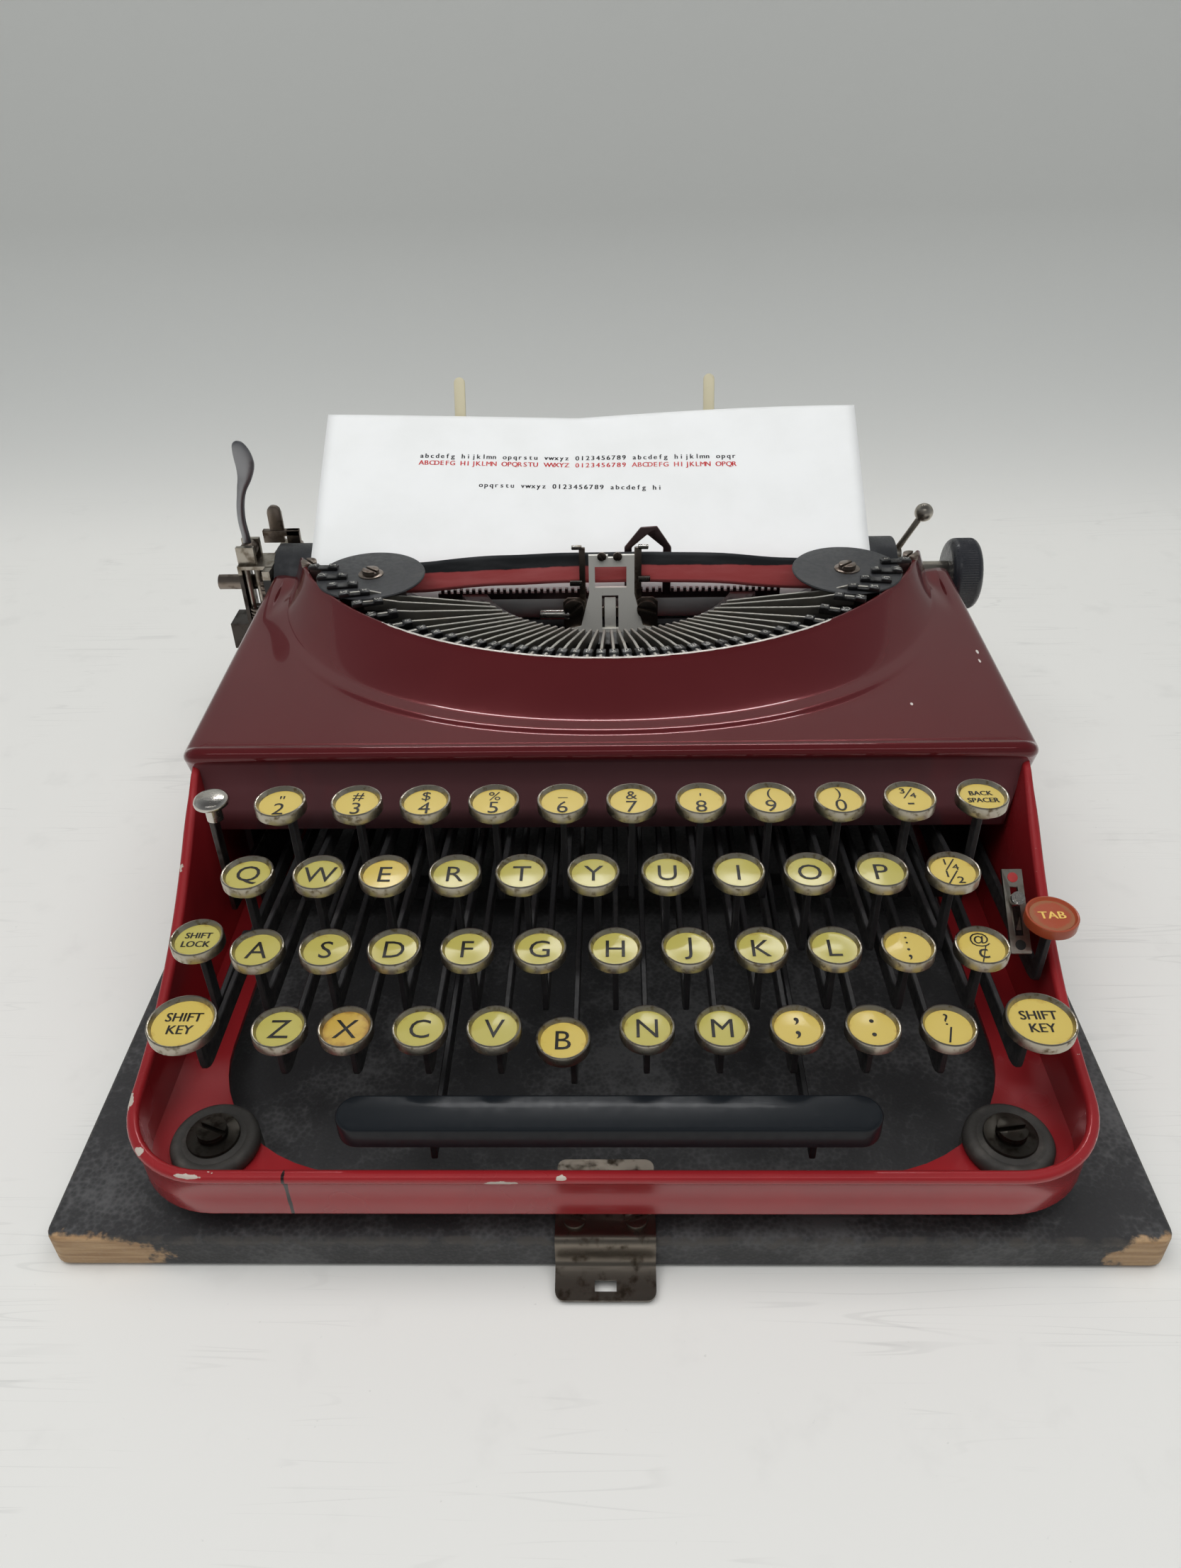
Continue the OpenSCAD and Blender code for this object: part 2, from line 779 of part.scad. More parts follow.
module top_cover() {
    low = cover_z - cover_face_h - through;
    color("maroon") difference() {
        union() {
            translate([0, 0, cover_z - cover_face_h]) linear_extrude(cover_face_h) cover_plan(0);
            rod_x(bead_end - cover_half, cover_half - bead_end, ridge_y + bead_r - bead_out,
                cover_z - bead_r + bead_up, bead_r);
            intersection() {
                flare(0);
                block([-cover_half, cover_half], [ridge_y, cover_rear], [cover_z - through, lip_z]);
            }
        }
        translate([0, 0, low]) linear_extrude(cover_z - cover_t - low) cover_plan(cover_t);
        block([cover_t - cover_half, cover_half - cover_t], [cover_rear - through, cover_rear + through],
            [low, cover_z - cover_t]);
        block([-cover_half - through, cover_half + through], [ridge_y + cover_t, cover_rear + through],
            [low, cover_z - skirt_h]);
        for (s = [-1, 1]) {
            face_x = s * (inside - seat);
            side_x = s * (frame_w / 2 + seat);
            block(s > 0 ? [face_x, cover_half + through] : [-cover_half - through, face_x],
                [ridge_y - through, ridge_y + 2 * cover_t], [low, cover_z - skirt_h]);
            block(s > 0 ? [face_x, side_x] : [side_x, face_x],
                [ridge_y - through, ridge_y + cover_corner + 2 * through],
                [cover_z - skirt_h - through, cover_z - cover_t]);
        }
        flare(cover_t);
        translate([0, lip_y, cover_z - skirt_h]) cylinder(r = lip_r - lip_t, h = collar_h + 2 * skirt_h);
    }
}

// Inner frame

module inner_frame() {
    color("dimgray") {
        difference() {
            union() {
                for (s = [-1, 1]) {
                    along_x(s > 0 ? plate_x : -plate_x - plate_t, plate_t) polygon([
                        [plate_front, floor_z], [plate_rear, floor_z], [plate_rear, bed_beam_top],
                        [plate_top_y[1], bed_beam_top], [plate_top_y[1], plate_top],
                        [plate_top_y[0], plate_top], [plate_front, floor_z + plate_front_h]]);
                    block(s > 0 ? [spool_x - shelf_in, plate_x] : [-plate_x, shelf_in - spool_x],
                        [spool_y - shelf_half, spool_y + shelf_half], [shelf_z, shelf_z + shelf_t]);
                    translate([s * spool_x, spool_y, shelf_z])
                        cylinder(r = spindle_r, h = spindle_top - shelf_z);
                }
                block([-plate_x, plate_x], [stop_y - stop_half, stop_y + stop_half], [floor_z, stop_top]);
                block([-plate_x, plate_x], [segment_y - segment_r + 1, segment_y - segment_in],
                    [beam_z - beam_h, beam_z]);
                block([-plate_x, plate_x], [bridge_y, bridge_y + bridge_t],
                    [bridge_top - bridge_h, bridge_top]);
                block([-plate_x, plate_x], bed_beam_y, [bed_beam_top - bed_beam_t, bed_beam_top - seat]);
            }
            for (s = [-1, 1]) rod_x(s * plate_x - 2 * plate_t, s * plate_x + 2 * plate_t, shaft_y, shaft_z,
                shaft_d / 2);
            rod_x(-plate_x - 2 * plate_t, -plate_x + plate_t, raiser_pin_y, raiser_pin_z, raiser_pin_r + run);
        }
        rod_x(-tab_x - lever_t, tab_x + lever_t, shaft_y, shaft_z, shaft_d / 2);
    }
}

module on_selector() {
    translate([selector_x, selector_y, selector_z]) rotate([selector_tilt, 0, 0]) children();
}

module selector_plate() {
    leg_x = selector_x + selector_w / 2;
    leg_y = [selector_y, selector_y + selector_leg[0]];
    foot = selector_z - selector_leg[1];
    color("silver") union() {
        on_selector() difference() {
            translate([-selector_w / 2, -selector_l / 2, 0]) cube([selector_w, selector_l, selector_t]);
            translate([-selector_slot[0] / 2, -selector_slot[1] / 2, -through])
                cube([selector_slot[0], selector_slot[1], selector_t + 2 * through]);
        }
        block([leg_x - selector_t, leg_x], leg_y, [foot, selector_z + selector_leg[2]]);
        block([leg_x - selector_t, inside], leg_y, [foot, foot + selector_t]);
    }
}

module selector_lever() {
    color("gray") on_selector() translate([0, selector_pin_y, 0]) union() {
        translate([0, 0, -selector_pin_h]) cylinder(r = selector_pin_r, h = selector_t + 2 * selector_pin_h);
        translate([0, 0, selector_t + gap]) cylinder(r = selector_knob[0], h = selector_knob[1]);
        translate([0, 0, -selector_pin_h]) cylinder(r = selector_collar_r, h = selector_pin_h - gap);
    }
}

module type_raiser() {
    half = lever_h / 2;
    top = raiser_z - raiser_neck_h + half;
    color("silver") union() {
        along_x(raiser_x - lever_t / 2, lever_t) polygon([
            [raiser_pin_y, raiser_pin_z - half], [raiser_y - stem_w / 2, raiser_pin_z + half],
            [raiser_y - stem_w / 2, top], [raiser_y + stem_w / 2, top],
            [raiser_y + stem_w / 2, raiser_pin_z + half + lever_h], [raiser_pin_y, raiser_pin_z + half]]);
        rod_x(raiser_x - lever_t / 2, raiser_x + lever_t / 2, raiser_pin_y, raiser_pin_z, half);
        rod_x(-plate_x - plate_t, raiser_x, raiser_pin_y, raiser_pin_z, raiser_pin_r);
        translate([raiser_knob_x, raiser_y, raiser_z]) {
            translate([0, 0, -raiser_neck_h]) cylinder(r = raiser_neck_r, h = raiser_neck_h);
            translate([0, 0, -raiser_knob_h]) cylinder(r = raiser_knob_r, h = raiser_knob_h);
        }
    }
}

// Type basket

module type_segment() {
    rest_h = rest_top - rest_bottom;
    color("dimgray") {
        intersection() {
            translate([0, segment_y, beam_z]) difference() {
                cylinder(r = segment_r, h = segment_top - beam_z);
                translate([0, 0, -through]) cylinder(r = segment_in, h = segment_top - beam_z + 2 * through);
            }
            block([-segment_r, segment_r], [segment_y - segment_r, segment_rear], [beam_z, segment_top]);
        }
        intersection() {
            translate([0, tip_y, rest_bottom]) difference() {
                cylinder(r = tip_r + rest_out, h = rest_h);
                translate([0, 0, -through]) cylinder(r = rest_in, h = rest_h + 2 * through);
                for (s = [-1, 1]) translate([s * spool_x, spool_y - tip_y, -through])
                    cylinder(r = wound_r + 2 * gap, h = rest_h + 2 * through);
            }
            block([-lip_r, lip_r], [ridge_y, rest_rear], [rest_bottom, rest_top]);
        }
    }
}

module type_bar(a) {
    start = reach(a, segment_y, bar_start_r);
    r0 = max(start, past_spool(a));
    r1 = reach(a, tip_y, tip_r);
    l = min(slug_l, r1 - r0);
    z0 = bar_inner_z + (bar_outer_z - bar_inner_z) * (r0 - start) / (r1 - start);
    translate([0, print_y, 0]) rotate(a - 90) union() {
        translate([0, bar_t / 2, 0]) rotate([90, 0, 0]) linear_extrude(bar_t) polygon([
            [r0, z0 - bar_h], [r1 - bar_end, bar_outer_z - bar_h], [r1 - bar_end, bar_outer_z], [r0, z0]]);
        translate([r1 - l, -slug_w / 2, bar_outer_z - slug_h]) cube([l, slug_w, slug_h]);
    }
}

module type_bars() {
    color("gray") for (i = [0:bar_count - 1]) type_bar(-fan_half + 2 * fan_half * i / (bar_count - 1));
}

module guide_plate() {
    foot = guide_screw_x + guide_edge;
    half = [[foot, bridge_top - 8], [foot, bridge_top - 1], [11, bridge_top + 2], [8.6, guide_top],
        [4, guide_top + 0.6], [4, guide_top - 5]];
    difference() {
        along_y(guide_y, guide_t) polygon(concat(half, [for (i = [5:-1:0]) [-half[i][0], half[i][1]]]));
        along_y(guide_y - through, guide_t + 2 * through) {
            translate([-guide_window[0] / 2, guide_top - 13.5]) square(guide_window);
            translate([-guide_slot[0] / 2, bridge_top + 1]) square(guide_slot);
        }
        for (s = [-1, 1]) rod_y(s * guide_screw_x, guide_y - through, guide_y + guide_t + through,
            guide_screw_z, screw_r + run);
    }
}

module line_scale() {
    depth = [scale_y, scale_y + scale_t];
    block([-scale_half, scale_half], depth, [scale_top - scale_h, scale_top - tooth_h]);
    for (x = [tooth_w / 2 - scale_half:tooth_pitch:scale_half - tooth_w]) block([x, x + tooth_w], depth,
        [scale_top - 2 * tooth_h, scale_top]);
    for (s = [-1, 1]) translate([s * scale_leg_x, 0, 0]) block([-scale_leg_w / 2, scale_leg_w / 2],
        [bridge_y + bridge_t, scale_y + scale_t / 2], [bridge_top - bridge_h / 2, scale_top - tooth_h]);
}

module card_loop() {
    foot = loop_top - loop_h;
    for (x = loop_x) block([x - wire / 2, x + wire / 2], [scale_y, scale_y + wire],
        [scale_top - scale_h, foot]);
    along_y(scale_y, wire) difference() {
        polygon([[loop_x[0] - wire / 2, foot - wire / 2], [loop_x[1] + wire / 2, foot - wire / 2],
            [loop_x[1] - loop_lean, loop_top], [loop_x[0] + loop_lean, loop_top]]);
        polygon([[loop_x[0] + wire, foot + wire], [loop_x[1] - wire, foot + wire],
            [loop_x[1] - loop_lean - wire, loop_top - wire],
            [loop_x[0] + loop_lean + wire, loop_top - wire]]);
    }
}

module type_guide() {
    color("silver") {
        guide_plate();
        union() {
            line_scale();
            card_loop();
        }
    }
}

module ribbon_vibrator() {
    depth = [vibrator_y, vibrator_y + vibrator_t];
    color("dimgray") union() {
        block([-vibrator_x, vibrator_x], depth, [vibrator_z, vibrator_z + vibrator_bar]);
        for (s = [-1, 1]) translate([s * vibrator_x, 0, 0]) block([-vibrator_w / 2, vibrator_w / 2], depth,
            [vibrator_z, vibrator_z + vibrator_h]);
    }
}

module ribbon() {
    front = [[-spool_x, ribbon_y], [-ribbon_bend_x, ribbon_mid_y], [ribbon_bend_x, ribbon_mid_y],
        [spool_x, ribbon_y]];
    color("black") translate([0, 0, ribbon_z]) linear_extrude(ribbon_w) polygon(concat(
        front, [for (i = [3:-1:0]) front[i] + [0, ribbon_t]]));
}

module spool(s) {
    translate([s * spool_x, spool_y, 0]) difference() {
        union() {
            translate([0, 0, spool_z]) cylinder(r = spool_r, h = flange_t);
            translate([0, 0, spool_z]) cylinder(r = wound_r, h = spool_top - spool_z);
            translate([0, 0, spool_top]) cylinder(r = spool_r, h = flange_t);
            translate([0, 0, spool_top + flange_t]) cylinder(r = spool_nut[0], h = spool_nut[1]);
        }
        translate([0, 0, spool_z - through])
            cylinder(r = spindle_r + run, h = spindle_top + 2 * through - spool_z);
    }
}

module left_spool() {
    color("dimgray") spool(-1);
}

module right_spool() {
    color("dimgray") spool(1);
}

// Carriage

module carriage_bed() {
    x = -carriage_shift;
    color("dimgray") difference() {
        block([x - bed_w / 2, x + bed_w / 2], [rail_y[0] - bed_wall, rail_y[1] + bed_wall],
            [bed_beam_top, rail_z[1] + bed_roof]);
        block([x - bed_w, x + bed_w], [rail_y[0] - gap, rail_y[1] + gap], [rail_z[0] - gap, rail_z[1] + gap]);
    }
}

module end_plate(x, pin_z) {
    along_x(x, end_t) polygon([
        [end_front, platen_z - 8], [platen_y - 4, end_bottom], [end_rear, end_bottom],
        [end_rear, platen_z + 4], [top_pin_y + 4, pin_z + 2.6], [top_pin_y - 4, pin_z + 2.6],
        [end_front, bracket_z + bracket_t]]);
}

module carriage_frame() {
    color("dimgray") difference() {
        union() {
            end_plate(left_end, top_pin_z);
            end_plate(right_end, release_pin_z);
            block([left_end, right_end + end_t], rail_y, rail_z);
            block([left_end, right_end + end_t], tie_y, tie_z);
            rod_x(left_end, left_end + end_t + top_pin_l, top_pin_y, top_pin_z, lever_pin_r);
            rod_x(right_end, right_end + end_t + gap + release_w, top_pin_y, release_pin_z, lever_pin_r);
            block([bracket_left, left_end + end_t], bracket_y, [bracket_z, bracket_z + bracket_t]);
            block([bracket_left, bracket_left + bracket_t], bracket_y,
                [end_bottom + 2, bracket_z + bracket_t]);
            block([bracket_left - bracket_foot[0], bracket_left + bracket_t], bracket_y,
                [end_bottom + 4, end_bottom + 4 + bracket_foot[1]]);
            for (y = return_ear_y) block([return_x - return_ear[0] / 2, return_x + return_ear[0] / 2],
                [y, y + return_ear[1]], [bracket_z, return_pin_z + return_ear[2]]);
            rod_y(return_x, return_ear_y[0], return_ear_y[1] + return_ear[1], return_pin_z, lever_pin_r);
            rod_x(finger_rod[0], finger_rod[1], finger_pin_y, finger_pin_z, lever_pin_r);
            for (x = finger_rod) translate([x, 0, 0]) {
                block([-finger_ear / 2, finger_ear / 2], [tie_y[0], finger_pin_y + finger_ear], tie_z);
                block([-finger_ear / 2, finger_ear / 2],
                    [finger_pin_y - finger_ear, finger_pin_y + finger_ear],
                    [tie_z[0], finger_pin_z + finger_ear]);
            }
        }
        rod_x(bracket_left - through, right_end + end_t + through, platen_y, platen_z,
            platen_shaft_d / 2 + run);
    }
}

module platen() {
    color("black") difference() {
        rod_x(platen_left, platen_right, platen_y, platen_z, platen_r);
        rod_x(platen_left - through, platen_right + through, platen_y, platen_z, platen_shaft_d / 2);
    }
}

module platen_shaft() {
    color("silver") union() {
        rod_x(bracket_left - shaft_stub, knob_x + knob_seat, platen_y, platen_z, platen_shaft_d / 2);
        translate([left_end - gap, platen_y, platen_z]) rotate([0, -90, 0]) difference() {
            cylinder(r = ratchet_r, h = ratchet_t);
            for (i = [0:ratchet_teeth - 1]) rotate(360 * i / ratchet_teeth)
                translate([ratchet_r, 0, -through]) cylinder(r = ratchet_groove, h = ratchet_t + 2 * through);
        }
    }
}

module platen_knob() {
    color("black") difference() {
        union() {
            rod_x(knob_x, knob_x + knob_w, platen_y, platen_z, knob_d / 2);
            rod_x(right_end + end_t + gap, knob_x, platen_y, platen_z, knob_hub_r);
        }
        rod_x(right_end, knob_x + knob_seat, platen_y, platen_z, platen_shaft_d / 2);
    }
}

// Half the spoon's width at a height t from 0 to 1: a plain stem, then the bowl
function spoon_half(t) = spoon_stem
    + (t < 0.42 ? 0 : (spoon_w - spoon_stem) * sin(180 * pow((t - 0.42) / 0.58, 0.8)));

module return_lever() {
    steps = 24;
    hub = [return_ear_y[0] + return_ear[1] + gap, return_ear_y[1] - gap];
    color("silver") difference() {
        union() {
            rod_y(return_x, hub[0], hub[1], return_pin_z, lever_pin_hub);
            along_y((hub[0] + hub[1] - spoon_t) / 2, spoon_t) translate([return_x, return_pin_z]) polygon([
                for (side = [-1, 1]) for (i = [0:steps]) let (t = (side < 0 ? i : steps - i) / steps)
                    [spoon_lean * t + side * spoon_half(t), spoon_h * t]]);
        }
        rod_y(return_x, hub[0] - through, hub[1] + through, return_pin_z, lever_pin_r + run);
    }
}

// Hub and bore of a short lever on the pin at an end plate, from x0 by a width w at a height z
module pin_hub(x0, w, z) {
    rod_x(x0, x0 + w, top_pin_y, z, lever_pin_hub);
}

module pin_bore(x0, w, z) {
    rod_x(x0 - through, x0 + w + through, top_pin_y, z, lever_pin_r + run);
}

module line_lever() {
    x0 = left_end + end_t + gap;
    color("dimgray") difference() {
        union() {
            pin_hub(x0, pin_lever_w, top_pin_z);
            along_x(x0, pin_lever_w) translate([top_pin_y, top_pin_z])
                polygon([[-1.8, 0], [0.8, 0], [0.8, line_bar_z[1]], [-1.8, line_bar_z[1]]]);
            along_x(line_bar_x, x0 + pin_lever_w - line_bar_x) translate([top_pin_y, top_pin_z])
                polygon([[-1.8, line_bar_z[0]], [0.8, line_bar_z[0]], [0.8, line_bar_z[1]], [-1.8, line_bar_z[1]]]);
            along_x(line_tab[0], line_tab[1]) translate([top_pin_y, top_pin_z])
                polygon([[-1.6, line_bar_z[0]], [0.8, line_bar_z[0]], [0.8, line_lever_h - 0.5],
                    [-0.8, line_lever_h]]);
        }
        pin_bore(x0, pin_lever_w, top_pin_z);
    }
}

module release_lever() {
    x0 = right_end + end_t + gap;
    color("dimgray") difference() {
        union() {
            pin_hub(x0, release_w, release_pin_z);
            translate([x0 + release_w / 2, top_pin_y, release_pin_z + release_foot]) {
                rotate([0, atan2(release_ball[0], release_ball[2]), 0])
                    cylinder(r = release_rod_r, h = norm(release_ball));
                translate(release_ball) sphere(release_ball_r);
            }
        }
        pin_bore(x0, release_w, release_pin_z);
    }
}

// The table stands on the tie bar and leans back, and the rollers press the sheet on the platen from below
module paper_table() {
    reach = platen_r + paper_t + 2 * gap + roller_r;
    lean = tie_y[0] + table_t + 1;
    top_y = tie_y[1] + table_run;
    color("dimgray") {
        along_x(platen_left + table_in, platen_w - 2 * table_in) polygon([
            [tie_y[0] + 1, tie_z[1]], [tie_y[0] + 1 + table_t, tie_z[1]], [lean + table_t, platen_z - 2],
            [top_y, platen_z + table_h], [top_y - table_t, platen_z + table_h + table_t / 2],
            [lean, platen_z - 2 + table_t / 2]]);
        for (a = roller_angles) translate([0, platen_y + reach * sin(a), platen_z - reach * cos(a)]) union() {
            rod_x(left_end + end_t, right_end, 0, 0, roller_pin_r);
            for (i = [-1:1]) let (x = i * roller_pitch - carriage_shift)
                rod_x(x - roller_l / 2, x + roller_l / 2, 0, 0, roller_r);
        }
    }
}

module paper_fingers() {
    tip = [finger_pin_y + finger_run, finger_pin_z + finger_rise];
    color("silver") for (x = finger_x) difference() {
        union() {
            rod_x(x - finger_w / 2, x + finger_w / 2, finger_pin_y, finger_pin_z, lever_pin_hub);
            along_x(x - finger_w / 2, finger_w) polygon([
                [finger_pin_y - finger_t / 2, finger_pin_z], [finger_pin_y + finger_t / 2, finger_pin_z],
                [tip[0] + finger_t / 4, tip[1]], [tip[0] - finger_t / 4, tip[1]]]);
        }
        rod_x(x - finger_w, x + finger_w, finger_pin_y, finger_pin_z, lever_pin_r + run);
    }
}

// The sheet hugs the front of the platen from below, then leans back straight
module paper_sheet() {
    exit = 90 + paper_slope;
    steps = 32;
    arc = [for (i = [0:steps]) paper_start - (paper_start - exit) * i / steps];
    dir = [cos(paper_slope), sin(paper_slope)];
    function at(a, r) = [platen_y + r * cos(a), platen_z + r * sin(a)];
    color("white") along_x(paper_left, paper_w) polygon(concat(
        [for (a = arc) at(a, paper_r)],
        [at(exit, paper_r) + paper_out * dir, at(exit, paper_r + paper_t) + paper_out * dir],
        [for (i = [steps:-1:0]) at(arc[i], paper_r + paper_t)]));
}

base_board();
latch_plate();
main_frame();
top_cover();
rubber_feet();
screws();
inner_frame();
space_bar();
shift_keys();
shift_lock();
back_spacer();
tab_key();
figure_keys();
selector_plate();
selector_lever();
type_raiser();
type_segment();
type_bars();
type_guide();
ribbon_vibrator();
ribbon();
left_spool();
right_spool();
carriage_bed();
carriage_frame();
platen();
platen_shaft();
platen_knob();
return_lever();
line_lever();
release_lever();
paper_table();
paper_fingers();
paper_sheet();
for (k = LETTERS) letter_key(k);
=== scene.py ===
"""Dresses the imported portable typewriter: board, casing, keyboard, type basket, carriage and studio.

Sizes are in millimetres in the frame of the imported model. A piece is scaled to metres when it is finished.
"""
from __future__ import annotations

import functools
import logging
import math
from collections.abc import Callable, Iterable, Sequence
from dataclasses import dataclass, field
from enum import Enum
from math import cos, pi, radians, sin, tau

import bmesh
import bpy
from bmesh.types import BMEdge, BMesh, BMVert
from bpy.types import Material, Mesh, Node, NodeSocket, Object
from mathutils import Matrix, Vector
from mathutils.geometry import interpolate_bezier

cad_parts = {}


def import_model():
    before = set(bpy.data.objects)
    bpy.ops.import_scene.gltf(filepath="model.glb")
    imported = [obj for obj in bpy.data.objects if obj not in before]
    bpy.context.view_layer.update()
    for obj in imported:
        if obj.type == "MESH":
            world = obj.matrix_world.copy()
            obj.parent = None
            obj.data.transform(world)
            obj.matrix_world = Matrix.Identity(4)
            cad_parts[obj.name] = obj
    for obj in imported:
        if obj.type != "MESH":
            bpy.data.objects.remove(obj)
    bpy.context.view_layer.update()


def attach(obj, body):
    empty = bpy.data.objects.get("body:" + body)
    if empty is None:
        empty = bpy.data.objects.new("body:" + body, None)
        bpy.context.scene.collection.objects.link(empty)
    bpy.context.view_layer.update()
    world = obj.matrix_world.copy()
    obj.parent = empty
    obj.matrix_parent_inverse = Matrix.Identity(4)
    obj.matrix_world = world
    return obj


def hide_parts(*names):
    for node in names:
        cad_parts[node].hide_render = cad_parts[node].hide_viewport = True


LOG = logging.getLogger("typewriter")
MM = 0.001
Point = Sequence[float]
Pair = tuple[float, float]
Place = tuple[float, float, float]
Colour = Place
Tones = tuple[Colour, Colour]
Spots = tuple[tuple[Point, Point], ...]
Legend = Sequence[tuple[str, float, float]]

# Points of a shape that are closer than this, in millimetres, are joined
MERGE = 1e-4
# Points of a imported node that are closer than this, in metres, are joined
WELD = 2e-6
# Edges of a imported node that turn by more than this, in degrees, are eased
EASED_ANGLE = 35

STILL = Matrix.Identity(4)
ALONG_X = Matrix(((0, 0, 1, 0), (1, 0, 0, 0), (0, 1, 0, 0), (0, 0, 0, 1)))
ALONG_Y = Matrix(((1, 0, 0, 0), (0, 0, 1, 0), (0, 1, 0, 0), (0, 0, 0, 1)))


def from_side(x: float) -> Matrix:
    """The placing of an outline that is drawn in (y, z) and extruded along x from a place."""
    return Matrix.Translation((x, 0, 0)) @ ALONG_X


def from_front(y: float) -> Matrix:
    """The placing of an outline that is drawn in (x, z) and extruded along y from a place."""
    return Matrix.Translation((0, y, 0)) @ ALONG_Y


def mix(a: float, b: float, share: float) -> float:
    """The value at a share of the way from a to b."""
    return a + (b - a) * share


def ease(low: float, high: float, value: float) -> float:
    """Smooth step from 0 at low to 1 at high."""
    share = min(max((value - low) / (high - low), 0.0), 1.0)
    return share * share * (3 - 2 * share)


def soften(shape: BMesh, edges: Iterable[BMEdge], width: float, segments: int = 2) -> None:
    """Rounds edges of a shape.

    Args:
        shape: The shape to change.
        edges: The edges to round.
        width: How far the rounding reaches from each edge.
        segments: The number of steps across the rounding.
    """
    bmesh.ops.bevel(shape, geom=list(edges), offset=width, offset_type="OFFSET", segments=segments,
                    profile=0.5, affect="EDGES", clamp_overlap=True, material=-1)


def slant(edge: BMEdge) -> float:
    """Difference in height between an edge's ends."""
    return abs(edge.verts[0].co.z - edge.verts[1].co.z)


def block(x: Point, y: Point, z: Point, bevel: float = 0.0, segments: int = 2) -> BMesh:
    """Makes a box with rounded edges.

    Args:
        x: Lowest and highest x.
        y: Lowest and highest y.
        z: Lowest and highest z.
        bevel: Width of the rounding, or 0 for sharp edges.
        segments: The number of steps across the rounding.

    Returns:
        The box.
    """
    shape = bmesh.new()
    bmesh.ops.create_cube(shape, size=1.0)
    bmesh.ops.scale(shape, vec=[high - low for low, high in (x, y, z)], verts=shape.verts)
    bmesh.ops.translate(shape, vec=[(low + high) / 2 for low, high in (x, y, z)], verts=shape.verts)
    if bevel:
        soften(shape, shape.edges, bevel, segments)
    return shape


def lathe(profile: Sequence[Point], steps: int = 40) -> BMesh:
    """Turns a profile round the z axis.

    Args:
        profile: Radius and height of each point, from one end to the other.
        steps: The number of steps in a turn.

    Returns:
        The turned shape.
    """
    shape = bmesh.new()
    verts = [shape.verts.new((r, 0.0, z)) for r, z in profile]
    edges = [shape.edges.new(pair) for pair in zip(verts, verts[1:])]
    bmesh.ops.spin(shape, geom=verts + edges, cent=(0, 0, 0), axis=(0, 0, 1), angle=tau, steps=steps,
                   use_merge=True)
    bmesh.ops.remove_doubles(shape, verts=shape.verts, dist=MERGE)
    bmesh.ops.recalc_face_normals(shape, faces=shape.faces)
    return shape


def aim(start: Point, direction: Point) -> Matrix:
    """The placing that takes the z axis to a direction from a start."""
    turn = Vector(direction).to_track_quat("Z", "Y").to_matrix().to_4x4()
    return Matrix.Translation(Vector(start)) @ turn


def rod(start: Point, end: Point, radius: float, steps: int = 24, bevel: float = 0.0) -> BMesh:
    """Makes a round rod between two points.

    Args:
        start: The middle of one end.
        end: The middle of the other end.
        radius: The rod's radius.
        steps: The number of steps round it.
        bevel: The rounding of its ends.

    Returns:
        The rod.
    """
    run = Vector(end) - Vector(start)
    b = min(bevel, radius)
    cut = 0.3 * b
    half = [(0, 0), (radius - b, 0), (radius - cut, cut), (radius, b)]
    shape = lathe(half + [(r, run.length - z) for r, z in reversed(half)], steps)
    bmesh.ops.transform(shape, matrix=aim(start, run), verts=shape.verts)
    return shape


def thicken(shape: BMesh, thickness: float) -> None:
    """Extrudes a flat shape upwards."""
    grown = bmesh.ops.extrude_face_region(shape, geom=list(shape.faces))["geom"]
    bmesh.ops.translate(shape, vec=(0, 0, thickness), verts=[g for g in grown if isinstance(g, BMVert)])
    bmesh.ops.recalc_face_normals(shape, faces=shape.faces)


def plate(outline: Sequence[Point], thickness: float, bevel: float = 0.0, segments: int = 2) -> BMesh:
    """Extrudes a flat outline in the plane z = 0.

    Args:
        outline: The corners of the outline.
        thickness: How far it is extruded.
        bevel: The rounding of its edges.
        segments: The number of steps across the rounding.

    Returns:
        The plate.
    """
    shape = bmesh.new()
    shape.faces.new([shape.verts.new((u, v, 0.0)) for u, v in outline])
    thicken(shape, thickness)
    if bevel:
        soften(shape, shape.edges, bevel, segments)
    return shape


def pierced(outline: Sequence[Point], holes: Sequence[Sequence[Point]], thickness: float) -> BMesh:
    """Extrudes a flat outline that has holes in it.

    Args:
        outline: The corners of the outline.
        holes: The corners of each hole.
        thickness: How far it is extruded.

    Returns:
        The plate.
    """
    shape = bmesh.new()
    edges: list[BMEdge] = []
    for loop in (outline, *holes):
        verts = [shape.verts.new((u, v, 0.0)) for u, v in loop]
        edges += [shape.edges.new(pair) for pair in zip(verts, verts[1:] + verts[:1])]
    bmesh.ops.triangle_fill(shape, edges=edges, use_beauty=True)
    thicken(shape, thickness)
    return shape


def quarter_turn(middle: Point, radius: float, first: float, steps: int) -> list[tuple[float, ...]]:
    """Points of a quarter of a circle.

    Args:
        middle: The middle of the circle.
        radius: Its radius.
        first: The angle in degrees at which the quarter starts.
        steps: The number of steps in it.

    Returns:
        The place and the outward direction of each point.
    """
    line = []
    for i in range(steps + 1):
        turn = radians(first + 90 * i / steps)
        u, v = cos(turn), sin(turn)
        line.append((middle[0] + radius * u, middle[1] + radius * v, u, v))
    return line


